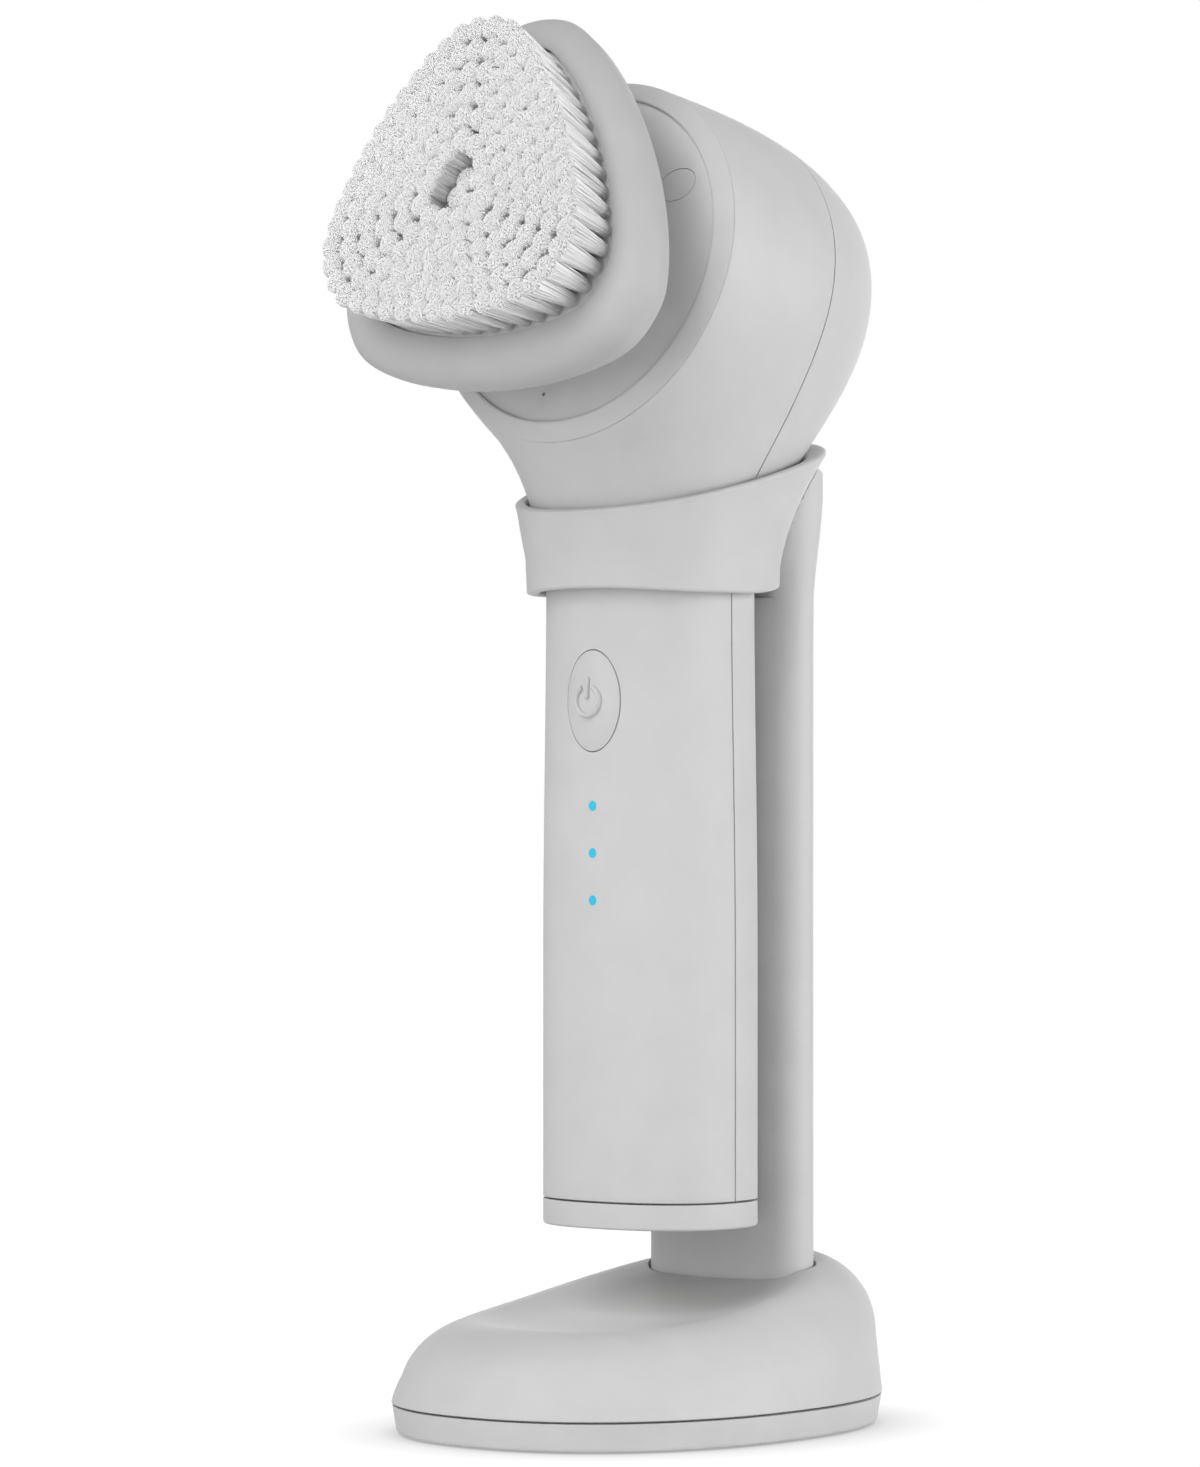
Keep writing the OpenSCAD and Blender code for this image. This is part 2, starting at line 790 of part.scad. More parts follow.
// Upright bars of a ring, open at the top, with a bar in the gap
module power_symbol() {
    ring_r = 2.9;
    line = 0.7;
    front = grip_front - button_dome - past;
    back = grip_front + 0.5;
    difference() {
        y_rod(ring_r, button_z, front, back);
        y_rod(ring_r - line, button_z, front - past, back + past);
        block([-1.2, front - past, button_z], [1.2, back + past, button_z + 2 * ring_r]);
    }
    block([-line / 2, front, button_z + 0.5], [line / 2, back, button_z + 3.8]);
}

module button_seal() color(rubber_grey) difference() {
    xz_prism(button_outline(flange_edge), seal_front, seal_front + seal_t);
    xz_prism(button_outline(button_gap), seal_front - past, seal_front + past);
}

module led_lens(i) color(led_cyan) {
    y_rod(led_d / 2, led_z[i], grip_front + 0.04, board_front - 0.8);
    y_rod(led_d / 2 + 0.5, led_z[i], wall_back + 0.15, wall_back + 0.75);
}

module led_emitters() color(nylon)
    for (z = led_z)
        block([-led_d / 2, board_front - 0.7, z - led_d / 2], [led_d / 2, board_front, z + led_d / 2]);

module tact_switch() color(rubber_grey) {
    block([-3, board_front - switch_h + 0.5, button_z - 3], [3, board_front, button_z + 3]);
    y_rod(1.6, button_z, switch_front, board_front - switch_h + 0.5);
}

module circuit_board() color(board_green)
    block([-board_hw, board_front, board_low], [board_hw, board_back, board_high]);

module battery() color(cell_blue) translate([0, cell_y, 0]) {
    rod(cell_r, cell_z, cell_z + cell_len);
    rod(0.3 * cell_r, cell_z + cell_len, cell_z + cell_len + cell_tip_h);
}

// Two rails with a bulkhead at each end of the cell and ledges behind the board
module chassis() color(rubber_grey) {
    low = cell_z - fit_gap - bulkhead_t;
    high = board_high + 2;
    top_seat = cell_z + cell_len + cell_tip_h + fit_gap;
    for (side = [0, 1])
        mirror([side, 0, 0]) {
            block([rail_x, board_front - 0.2, low], [rail_x + rail_t, cell_y + 2, high]);
            block([rail_x - 1.4, board_back, high - 6], [rail_x + past / 2, board_back + 1.2, high]);
        }
    block([-rail_x - rail_t / 2, board_back + 0.4, low], [rail_x + rail_t / 2, cell_y + 2, low + bulkhead_t]);
    block([-rail_x - rail_t / 2, board_back + 0.4, top_seat],
        [rail_x + rail_t / 2, cell_y + 2, top_seat + bulkhead_t]);
}

// Drive

module motor_can() color(steel) head_frame() difference() {
    union() {
        rod(motor_r, can_back, flange_z);
        rod(mount_ring + stand_r, can_front, flange_z);
        rod(boss_r, can_front, flange_z + boss_out);
    }
    rod(motor_r - can_wall, can_back - past, can_front);
    rod(bush_r, can_front - past, flange_z + boss_out + past);
    at_motor_screws() rod(motor_screw_r + 0.4, can_front - past, flange_z + past);
}

module motor_end() color(steel) head_frame() difference() {
    union() {
        rod(motor_r, can_back - end_t, can_back);
        rod(boss_r, can_back - end_t, can_back + end_boss);
    }
    rod(bush_r, can_back - end_t + 0.8, can_back + end_boss + past);
}

module motor_screws() color(steel) head_frame() at_motor_screws() {
    rod(2 * motor_screw_r + 0.4, can_front - 1.4, can_front);
    rod(motor_screw_r, can_front, face_back - 1.4);
}

module front_bush() color(brass) head_frame()
    sleeve(bush_r - seat_gap, shaft_r + run_gap, can_front, flange_z + boss_out);

module rear_bush() color(brass) head_frame()
    sleeve(bush_r - seat_gap, shaft_r + run_gap, can_back - end_t + 0.8, can_back + end_boss);

module shaft_seal() color(rubber_grey) head_frame()
    sleeve(seal_r, shaft_r + run_gap + 0.03, face_back, face_front);

module motor_rotor() color(rubber_grey) head_frame()
    sleeve(motor_r - can_wall - rotor_gap, shaft_r + seat_gap, rotor_back, rotor_front);

module drive_shaft() color(steel) head_frame() {
    rod(shaft_r, can_back - end_t + 1, shaft_out - 0.6);
    translate([0, 0, shaft_out - 0.6]) cylinder(h = 0.6, r1 = shaft_r, r2 = shaft_r - 0.5);
}

// Brush head

module outline_plate(outline, z0, z1) {
    translate([0, 0, z0])
        linear_extrude(z1 - z0) polygon(outline);
}

module brush_pad() color(grey) head_frame() difference() {
    loft(concat(
        [at_height(pad_outline(pad_taper), pad_back)],
        [for (turn = [0 : 18 : 90])
            at_height(pad_outline(pad_round * (1 - cos(turn))), pad_crease + pad_dome * sin(turn))]
    ));
    outline_plate(pad_outline(plate_inset - fit_gap), pad_back - past, pad_back + plate_t);
    outline_plate(field_outline(0.15), field_floor - backing_t, pad_front + past);
}

module brush_back() color(dark_grey) head_frame() difference() {
    union() {
        outline_plate(pad_outline(plate_inset), pad_back, pad_back + plate_t);
        rod(hub_r, hub_back, pad_back + plate_t / 2);
    }
    rod(shaft_r + run_gap, hub_back - past, shaft_out + 0.1);
    sleeve(hub_r + past, hub_r - clip_t + 0.1, clip_z - 0.1, clip_z + clip_h + 0.1);
}

module hub_clip() color(steel) head_frame()
    translate([0, 0, clip_z])
        rotate_extrude(angle = 300)
            translate([hub_r - clip_t + 0.15, 0]) square([clip_t, clip_h]);

// Bristles: a net of triangles in rings of six, twelve and so on, with a strand on each triangle

function net_index(k, j) = k == 0 ? 0 : 1 + 3 * k * (k - 1) + j % (6 * k);
function net_point(k, j) =
    let (
        share = k == 0 ? 0 : (k + bare_step) / (tuft_rings + bare_step),
        edge = three_corner(field_w, field_top, field_bottom, field_flat, k == 0 ? 0 : 60 * j / k)
    )
    [edge[0] * share, field_mid + (edge[1] - field_mid) * share];
function net_triangles(k0, k1) = [
    for (k = [k0 : k1], part = [0 : 5], i = [0 : k - 1])
    each concat(
        [[net_index(k - 1, part * (k - 1) + i), net_index(k, part * k + i), net_index(k, part * k + i + 1)]],
        i == 0 ? [] : [[
            net_index(k - 1, part * (k - 1) + i - 1), net_index(k, part * k + i),
            net_index(k - 1, part * (k - 1) + i)
        ]]
    )
];

// Corners of the triangle shrunk about its middle, moved to the roots or the splayed tips
function strand_corners(corners, shrink, splay, lift, z) =
    let (mid = (corners[0] + corners[1] + corners[2]) / 3)
    [
        for (c = corners)
        let (p = mid + shrink * (c - mid))
        [
            p[0] + (splay - 1) * mid[0],
            p[1] + (splay - 1) * (mid[1] - field_mid) + lift, z
        ]
    ];

module bristles() color(nylon) head_frame() {
    bare = net_triangles(1, 1);
    tufted = net_triangles(2, tuft_rings);
    edge_count = 6 * tuft_rings;
    floor_z = field_floor - backing_t;
    net = [for (k = [0 : tuft_rings], j = [0 : max(0, 6 * k - 1)]) net_point(k, j)];
    first_edge = net_index(tuft_rings, 0);
    under = len(net);
    strands = under + edge_count + 1;
    points = concat(
        at_height(net, field_floor),
        at_height([for (j = [0 : edge_count - 1]) net[first_edge + j]], floor_z),
        [[0, field_mid, floor_z]],
        [
            for (t = tufted)
            let (corners = [for (v = t) net[v]])
            each concat(
                strand_corners(corners, strand_root, 1, 0, field_floor),
                strand_corners(corners, strand_tip, bristle_splay, bristle_lift, field_floor + bristle_len)
            )
        ]
    );
    skirt = [
        for (j = [0 : edge_count - 1])
        let (k = (j + 1) % edge_count)
        each [
            [under + j, first_edge + j, first_edge + k],
            [under + j, first_edge + k, under + k],
            [under + edge_count, under + j, under + k]
        ]
    ];
    strand_faces = [
        for (n = [0 : len(tufted) - 1])
        let (
            t = tufted[n],
            root = strands + 6 * n,
            tip = root + 3
        )
        each concat(
            [for (e = [0 : 2]) each let (f = (e + 1) % 3) [
                [t[e], root + f, t[f]], [t[e], root + e, root + f],
                [root + e, tip + f, root + f], [root + e, tip + e, tip + f]
            ]],
            [[tip, tip + 2, tip + 1]]
        )
    ];
    polyhedron(points, concat([for (t = bare) [t[0], t[2], t[1]]], skirt, strand_faces));
}

// Stand uprights

// Ring of the cradle at share s along the neck, or below its foot where s is negative
function cradle_station(s) = s <= 0 ? grip_station(elbow_z) : neck_station(s);
function cradle_gap(s) = low_gap + (rim_gap - low_gap) * soft(s / cradle_rim);
function cradle_out_station(s) =
    let (
        st = cradle_station(s),
        unit = (st[1] - st[0]) / norm(st[1] - st[0])
    )
    [st[0], st[1] + cradle_back * (1 + s / cradle_rim) * unit, st[2], st[3]];
function cradle_low_ring(st, z, grow) = [
    for (p = skin_ring(st, grow))
    let (
        arch = max(0, (grip_y - p[1]) / (grip_y - st[0][0] + grow)),
        tail = max(0, (p[1] - grip_y) / (st[1][0] - grip_y + grow))
    )
    [p[0], p[1], z + cradle_wave * pow(arch, 4) + cradle_tail * tail * tail]
];
function cradle_in_ring(s, grow) = skin_ring(cradle_station(s), cradle_gap(s) + grow);
function cradle_out_ring(s, trim) = skin_ring(cradle_out_station(s), cradle_gap(s) + cradle_wall - trim);

cradle_shares = [for (i = [0 : 5]) cradle_rim * i / 5];

module cradle_ring() color(grey) {
    lip = 0.35 * cradle_wall;
    inner = cradle_station(0);
    outer = cradle_out_station(0);
    union() {
        hoop(concat(
            [
                cradle_low_ring(inner, cradle_z, low_gap + lip),
                cradle_low_ring(outer, cradle_z, low_gap + cradle_wall - lip),
                cradle_low_ring(outer, cradle_z + lip, low_gap + cradle_wall)
            ],
            [for (s = cradle_shares) cradle_out_ring(s, 0)],
            [cradle_out_ring(cradle_rim + 0.008, 0.3 * lip)],
            [cradle_out_ring(cradle_rim + 0.014, lip)],
            [cradle_in_ring(cradle_rim + 0.014, lip)],
            [cradle_in_ring(cradle_rim + 0.008, 0.3 * lip)],
            [for (i = [5 : -1 : 0]) cradle_in_ring(cradle_shares[i], 0)],
            [cradle_low_ring(inner, cradle_z + lip, low_gap)]
        ));
        tongue(0);
    }
}

// Tongue on the cradle's back that plugs into the post
module tongue(grow) {
    back_y = grip_rear + low_gap + cradle_wall + cradle_back;
    block(
        [-tongue_w / 2 - grow, back_y - cradle_wall / 2, cradle_z + tongue_foot - grow],
        [tongue_w / 2 + grow, back_y + tongue_deep + grow, cradle_z + tongue_h + grow]
    );
}

// Point of the cradle's back at share s along the neck and x to the side, as [y, z]
function cradle_back_point(s, x) =
    let (
        st = cradle_out_station(s),
        grow = cradle_gap(s) + cradle_wall + post_cut_gap,
        across = st[1] - st[0],
        side = min(1, abs(x) / (st[2] + grow)),
        reach = (norm(across) / 2 + grow) * pow(1 - pow(side, st[3]), 1 / st[3])
    )
    (st[0] + st[1]) / 2 + reach * across / norm(across);

// Depth of the cradle's back at x and z, found by halving the range of shares
function cradle_back_y(x, z, low = 0, high = 0.5, turns = 16) =
    let (
        mid = (low + high) / 2,
        point = cradle_back_point(mid, x)
    )
    turns == 0 ? point[0]
    : point[1] < z ? cradle_back_y(x, z, mid, high, turns - 1)
    : cradle_back_y(x, z, low, mid, turns - 1);

// Rear half of the post's outline round its own middle, with points along the flat side
post_flat = (post_w - post_t) / 2;
post_half = concat(
    [for (a = [9 : 18 : 81]) [post_flat + post_t / 2 * cos(a), post_t / 2 * sin(a)]],
    [for (i = [0 : 11]) [post_flat * (1 - i / 5.5), post_t / 2]],
    [for (a = [81 : -18 : 9]) [-post_flat - post_t / 2 * cos(a), post_t / 2 * sin(a)]]
);
post_outline = concat(
    post_half,
    [for (i = [len(post_half) - 1 : -1 : 0]) [post_half[i][0], -post_half[i][1]]]
);

// Ring of the post, kept clear of the cradle's back where clear is true
function post_ring(z, trim, clear) =
    let (flare = post_flare * soft((z - post_top_z + 3 * post_edge) / post_flare_h + 1))
    [
        for (p = post_outline)
        let (
            x = p[0] * (1 - 2 * trim / post_w),
            share = p[1] / post_t + 0.5,
            y = post_mid + p[1] + share * (flare - trim)
        )
        [x, clear ? max(y, cradle_back_y(x, z) + share * post_skin) : y, z]
    ];

module stand_post() color(grey) difference() {
    loft(concat(
        [post_ring(base_seam_z, 0, false), post_ring(cradle_z - 2 * post_cut_gap, 0, false)],
        [
            for (i = [0 : 8])
            post_ring(cradle_z - post_cut_gap + (post_top_z - post_edge - cradle_z) * i / 8, 0, true)
        ],
        [post_ring(post_top_z - 0.3 * post_edge, 0.4 * post_edge, true)],
        [post_ring(post_top_z, post_edge, true)]
    ));
    tongue(2 * post_cut_gap);
    at_post_screws()
        rod(screw_r + pilot_gap, base_seam_z - past, base_seam_z + post_screw_bite + pilot_spare);
}

foot_pad();
base_plate();
base_shell();
base_weight();
base_screws();
stand_post();
post_screws();
cradle_ring();
front_shell();
rear_shell();
bezel_ring();
face_plate();
face_plug();
end_cap();
cap_seal();
charge_contacts();
power_button();
button_seal();
led_lens(0);  // led_lens_1
led_lens(1);  // led_lens_2
led_lens(2);  // led_lens_3
circuit_board();
tact_switch();
led_emitters();
battery();
chassis();
motor_can();
motor_end();
motor_screws();
front_bush();
rear_bush();
shaft_seal();
motor_rotor();
drive_shaft();
brush_pad();
brush_back();
hub_clip();
bristles();
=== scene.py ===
"""Cordless skin brush hanging in its stand: the looks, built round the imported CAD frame."""

import json
import math
import random

import bmesh
import bpy
from mathutils import Matrix, Vector


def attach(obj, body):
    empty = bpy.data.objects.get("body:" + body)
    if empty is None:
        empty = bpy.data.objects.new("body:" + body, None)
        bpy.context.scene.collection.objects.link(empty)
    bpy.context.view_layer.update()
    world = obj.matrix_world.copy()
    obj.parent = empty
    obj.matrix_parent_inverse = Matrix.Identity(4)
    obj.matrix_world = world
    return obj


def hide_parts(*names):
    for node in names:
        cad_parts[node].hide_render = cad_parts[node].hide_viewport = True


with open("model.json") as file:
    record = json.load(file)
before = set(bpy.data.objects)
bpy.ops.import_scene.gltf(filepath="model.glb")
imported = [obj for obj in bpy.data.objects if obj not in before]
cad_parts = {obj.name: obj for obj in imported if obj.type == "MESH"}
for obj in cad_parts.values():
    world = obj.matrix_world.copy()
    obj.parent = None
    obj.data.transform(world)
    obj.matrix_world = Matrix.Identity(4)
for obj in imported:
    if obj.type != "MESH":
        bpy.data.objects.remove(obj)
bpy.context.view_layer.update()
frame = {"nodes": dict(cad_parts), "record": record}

# Sizes are in millimetres, as in the part's source, and a finished mesh is scaled to metres
MM = 0.001
SEAM = 0.34
BASE_SEAM = 0.44
BROKEN_EDGE = 0.05
CUT_PAST = 1.0
CUT_SNAP = 0.0001
WELD = 0.001

# Counts of points and steps on the curved pieces
SKIN_SIDES = 128
GRIP_STEPS = 84
NECK_STEPS = 110
CAP_STEPS = 8
FACE_SIDES = 160
OVAL_SIDES = 64
BUTTON_SIDES = 72
BUTTON_STEPS = 20
LED_SIDES = 40
SYMBOL_SIDES = 12
SYMBOL_STEPS = 56
SYMBOL_END_STEPS = 8
BASE_SIDES = 160
BASE_STEPS = 20
DISH_STEPS = 24
POST_CORNER_STEPS = 9
POST_FLAT_STEPS = 12
POST_LOW_STEPS = 12
POST_HIGH_STEPS = 24
POST_EDGE_STEPS = 6
CRADLE_SIDES = 144
CRADLE_STEPS = 24
CRADLE_LIP_STEPS = 10
CRADLE_HALVINGS = 24
PAD_SIDES = 144
PAD_STEPS = 20

# Base
BASE_HALF_W = 34.23
BASE_HALF_D = 43.1
BASE_SQUARE = 2.24
BASE_SEAM_Z = 4.9
BASE_CREST = 20.0
BASE_SLOPE = 0.15
BASE_BEND = 0.0026
BASE_DISH = 1.35
BASE_DISH_POWER = 5
BASE_ROUND = 12.5
BASE_DRAFT = 1.0
BASE_DRAFT_H = 4.0
BASE_WALL = 2.4
BASE_SIDE_LOW = 0.4
PLATE_LIFT = 0.3
# The plate's lower bevel, as pairs of inset and rise, and the inset of its upper edge
PLATE_EDGE = ((1.3, 0), (1.12, 0.05), (0.97, 0.17), (0.85, 0.33), (0.74, 0.6))
PLATE_TOP_INSET = 0.14
FOOT_MARGIN = 5.8
FOOT_SHEET = 1.3

# Stand
POST_W = 32.0
POST_T = 8.0
POST_MID = 23.8
POST_TOP_Z = 155.2
POST_FLARE = 3.0
POST_FLARE_H = 20.0
POST_EDGE = 1.2
POST_SKIN = 1.8
POST_GAP = 0.12
SLOT_GAP = 0.5
SLOT_CUT = (-5, 60)
CRADLE_Z = 134.0
# The rim's place, its rounding and the end of the search for its back, as shares of the neck
CRADLE_RIM = 0.215
CRADLE_RIM_ROUND = 0.014
CRADLE_SEARCH = 0.5
CRADLE_LOW_GAP = 1.15
CRADLE_RIM_GAP = 0.5
CRADLE_WALL = 2.0
CRADLE_BACK = 1.5
CRADLE_WAVE = 0.8
CRADLE_WAVE_POWER = 4
CRADLE_TAIL = 2.6
CRADLE_TAIL_POWER = 2
CRADLE_LIP = 0.7
CRADLE_LIP_POWER = 0.5

# Grip and neck
GRIP_HALF_W = 17.7
GRIP_HALF_D = 14.4
GRIP_SQUARE = 2.4
GRIP_Y = 2.8
GRIP_TAPER = 0.8
GRIP_FRONT = GRIP_Y - GRIP_HALF_D
GRIP_REAR = GRIP_Y + GRIP_HALF_D
CAP_Z = 32.5
CAP_SEAM_Z = 36.8
CAP_EDGE = 0.5
PLUG_GAP = 0.2
PLUG_LEN = 1.0
TAPER_Z = 77.08
ELBOW_Z = 137.5
SHELL_WALL = 2.0
SEAM_BEND_Z = 148.7
NECK_SWELL = 21.4
HEAD_SWELL = 36.2
NECK_GATHER = 1.6
NECK_ROUNDING = 1.4
THROAT_BIAS = 0.38
THROAT_SLOPE = math.radians(53)

# Head
HEAD_TILT = math.radians(15)
FACE_MID = Vector((-13.55, 186.8))
FACE_R = 30.1
FACE_UP = Vector((math.sin(HEAD_TILT), math.cos(HEAD_TILT)))
RING_BAND = 2.7
RING_RISE = 1.9
RING_SEAT = 2.5
RING_FOOT = 1.6
RING_PLUG_GAP = 0.4
RING_LIFT = 0.03
# Roundings of the ring: inset and height, then twice outset and drop from its crest
RING_OUTER_EDGE = ((0.12, RING_LIFT), (0.03, 0.08), (0, 0.16), (0.03, 0.24), (0.1, 0.32))
RING_CREST = ((0.42, 0.2), (0.2, 0.07), (0, 0.01), (-0.1, 0.01))
RING_INNER_EDGE = ((0.12, 0.08), (0.03, 0.2), (0, 0.38))
FACE_FRONT = 1.2
FACE_BACK = -1.4
FACE_HOLE_R = 27.0
SEAL_R = 4.52
DISC_GAP = 0.01
DISC_BREAK = 0.1
DISC_EDGE = ((0, 0.1), (0.03, 0.03), (0.1, 0))
COVER_AT = Vector((17.5, 11.5))
COVER_HALF_W = 3.8
COVER_HALF_H = 2.7
COVER_TURN = math.radians(12)
COVER_GAP = 0.11
COVER_DEEP = 1.0
COVER_FOOT_GAP = 0.05
COVER_EDGE = 0.04
VENT_AT = Vector((-2.7, -22.3))
VENT_R = 0.33
STANDOFF_RING = 17.0
STANDOFF_R = 3.0
STANDOFF_BORE_R = 0.95
STANDOFF_FOOT = -8.5
STANDOFF_TURNS = (90, 210, 330)

# Points that draw the neck's side profile, as (y, z)
NAPE = Vector((GRIP_REAR, ELBOW_Z))
NAPE_PULL = Vector((0, 15))
BACK = FACE_MID + Vector((57.5, 0.8))
BACK_PULL = Vector((0, 19))
CROWN_PULL = Vector((0, 18))
CROWN_REACH = 27
CROWN_DIP = math.radians(-9)
RING_LOW = FACE_MID - FACE_R * FACE_UP
RING_HIGH = FACE_MID + FACE_R * FACE_UP
CROWN = RING_HIGH + CROWN_REACH * Vector((math.cos(CROWN_DIP), math.sin(CROWN_DIP)))
THROAT = Vector((GRIP_FRONT, RING_LOW.y - (GRIP_FRONT - RING_LOW.x) * math.tan(THROAT_SLOPE)))

# Controls
BUTTON_HALF_W = 5.45
BUTTON_HALF_H = 8.1
BUTTON_Z = 116.9
BUTTON_GAP = 0.14
BUTTON_DEEP = 4
BUTTON_CUT_PAST = 2
# The button's rounded rim, as pairs of its share of the outline and its sink
BUTTON_RIM = ((1, 0.3), (0.998, 0.12), (0.992, 0.03))
BUTTON_DOME = 1.15
BUTTON_PROUD = 0.12
BUTTON_CROWN_R = 39.0
LED_R = 0.8
LED_GAP = 0.02
LED_CUT = 6
LED_Z = (100.1, 92.55, 85.0)
SYMBOL_R = 2.36
SYMBOL_LINE = 0.4
SYMBOL_RELIEF = 1.3
SYMBOL_LIFT = 0.15
SYMBOL_OPENING = math.radians(27)
SYMBOL_BAR = (0.65, 3.4)

# Brush head, along the head's own axis
PAD_W = 63.2
PAD_TOP = 34.35
PAD_BOTTOM = 26.9
PAD_BACK = 14.6
PAD_CREASE = 17.4
PAD_DOME = 5.0
PAD_ROUND = 5.4
# Roundings of the pad's back edge, of its side below the crease and of the field's lip
PAD_BACK_EDGE = ((0.95, 0), (0.68, 0.07), (0.55, 0.3))
PAD_SIDE = ((0.1, 0.35), (0.03, 0.1))
FIELD_LIP = ((0.45, 0), (0.22, 0.08), (0.15, 0.3))
FIELD_GAP = 0.15
PLATE_INSET = 3.8
PLATE_T = 2.0
TRI_CORNER = 0.12
PAD_FLAT = 0.0143
FIELD_FLAT = 0.021
FIELD_W = 50.0
FIELD_TOP = 28.0
FIELD_BOTTOM = 19.6
FIELD_MID = 4.2
FIELD_HUB = 1.6
FIELD_FLOOR = 21.2
BACKING_T = 1.2
BACKING_EDGE = 0.2
BRISTLE_LEN = 11.7
BRISTLE_SPLAY = 1.05
BRISTLE_LIFT = 0.5

# Head coordinates, X across, Y up the face and Z out of it, to the object's own
HEAD = Matrix((
    (1, 0, 0, 0),
    (0, math.sin(HEAD_TILT), -math.cos(HEAD_TILT), FACE_MID.x),
    (0, math.cos(HEAD_TILT), math.sin(HEAD_TILT), FACE_MID.y),
    (0, 0, 0, 1),
))


# Curves and outlines

def soft(v):
    """Smooth step from 0 to 1."""
    c = min(1.0, max(0.0, v))
    return c * c * (3 - 2 * c)


def signed_power(v, e):
    """Power of the value's size, with the value's sign."""
    return math.copysign(abs(v) ** e, v)


def bend(points, t):
    """Point at share t of the curve drawn by its control points."""
    while len(points) > 1:
        points = [a + (b - a) * t for a, b in zip(points, points[1:])]
    return points[0]


def full_turns(count):
    """Angles round a full turn, none of them on an axis."""
    return [2 * math.pi * (i + 0.5) / count for i in range(count)]


def quarter_turns(steps):
    """Angles from nothing to a quarter turn."""
    return [math.pi / 2 * i / steps for i in range(steps + 1)]


def oval(half_a, half_b, square, count):
    """Rounded oval as (a, b) pairs, none of them on an axis."""
    power = 2 / square
    return [
        (half_a * signed_power(math.cos(t), power), half_b * signed_power(math.sin(t), power))
        for t in full_turns(count)
    ]


def three_corner(width, top, bottom, flat, turn):
    """Point of the three-cornered outline, one corner up, at the angle of its normal."""
    a = TRI_CORNER
    b = -flat
    third = 3 * (turn - math.pi / 2)
    reach = 1 + a * math.cos(third) + b * math.cos(2 * third)
    slide = -3 * a * math.sin(third) - 6 * b * math.sin(2 * third)
    tall = (top + bottom) / (2 + 2 * b)
    x = width / 2 / (1 - b) * (reach * math.cos(turn) - slide * math.sin(turn))
    y = top - tall * (1 + a + b) + tall * (reach * math.sin(turn) + slide * math.cos(turn))
    return x, y


def pad_ring(inset, z):
    """Ring of the pad's outline, moved inwards."""
    width = PAD_W - 2 * inset
    top = PAD_TOP - inset
    bottom = PAD_BOTTOM - inset
    return [(*three_corner(width, top, bottom, PAD_FLAT, t), z) for t in full_turns(PAD_SIDES)]


def field_ring(grow, z, count=PAD_SIDES):
    """Ring of the tufted field's outline, moved outwards."""
    width = FIELD_W + 2 * grow
    top = FIELD_TOP + grow
    bottom = FIELD_BOTTOM + grow
    return [(*three_corner(width, top, bottom, FIELD_FLAT, t), z) for t in full_turns(count)]


def neck_station(share):
    """Side profile of the neck: front point, back point, half width and squareness."""
    if share <= 0.5:
        rear = bend((NAPE, NAPE + NAPE_PULL, BACK - BACK_PULL, BACK), 2 * share)
    else:
        rear = bend((BACK, BACK + CROWN_PULL, CROWN, RING_HIGH), 2 * share - 1)
    front = bend((Vector((GRIP_FRONT, ELBOW_Z)), THROAT, RING_LOW), share ** THROAT_BIAS)
    half = bend((GRIP_HALF_W - GRIP_TAPER, NECK_SWELL, HEAD_SWELL, FACE_R), share)
    square = GRIP_SQUARE + (2 - GRIP_SQUARE) * min(1, NECK_ROUNDING * share)
    return front, rear, half, square


def grip_station(z):
    """Side profile of the grip at a height, as for the neck."""
    half = GRIP_HALF_W - GRIP_TAPER * soft((z - TAPER_Z) / (ELBOW_Z - TAPER_Z))
    return Vector((GRIP_FRONT, z)), Vector((GRIP_REAR, z)), half, GRIP_SQUARE


def skin_ring(station, grow, count):
    """Points round a station, moved outwards by grow."""
    front, rear, half, square = station
    middle = (front + rear) / 2
    along = (rear - front).normalized()
    deep = (rear - front).length / 2 + grow
    return [
        (a, middle.x + along.x * b, middle.y + along.y * b)
        for a, b in oval(half + grow, deep, square, count)
    ]


# Mesh helpers

def place_ring(bm, points):
    """Closed loop of edges through the points."""
    verts = bmesh.ops.create_circle(bm, segments=len(points), radius=1)["verts"]
    for vert, point in zip(verts, points):
        vert.co = point
    return list(dict.fromkeys(edge for vert in verts for edge in vert.link_edges))


def loft(bm, rings, closed=False, floor=False, roof=False):
    """Skin through rings of equal point counts, with or without its ends."""
    loops = [place_ring(bm, points) for points in rings]
    for low, high in zip(loops, loops[1:] + loops[:1] if closed else loops[1:]):
        bmesh.ops.bridge_loops(bm, edges=low + high)
    if floor:
        bmesh.ops.edgeloop_fill(bm, edges=loops[0])
    if roof:
        bmesh.ops.edgeloop_fill(bm, edges=loops[-1])


def lathe(bm, profile, steps):
    """Solid of revolution round Z from a closed profile of (radius, z) points."""
    verts = [bm.verts.new((r, 0, z)) for r, z in profile]
    edges = [bm.edges.new(pair) for pair in zip(verts, verts[1:] + verts[:1])]
    bmesh.ops.spin(
        bm, geom=verts + edges, cent=(0, 0, 0), axis=(0, 0, 1), angle=2 * math.pi, steps=steps,
        use_merge=True,
    )


def dressed(bm, name, material, sharp=34):
    """Object of a mesh in millimetres, smooth apart from edges sharper than the angle."""
    bmesh.ops.recalc_face_normals(bm, faces=bm.faces)
    bmesh.ops.scale(bm, vec=(MM, MM, MM), verts=bm.verts)
    mesh = bpy.data.meshes.new(name)
    bm.to_mesh(mesh)
    bm.free()
    mesh.materials.append(material)
    piece = bpy.data.objects.new(name, mesh)
    bpy.context.scene.collection.objects.link(piece)
    smooth(piece, sharp)
    return piece


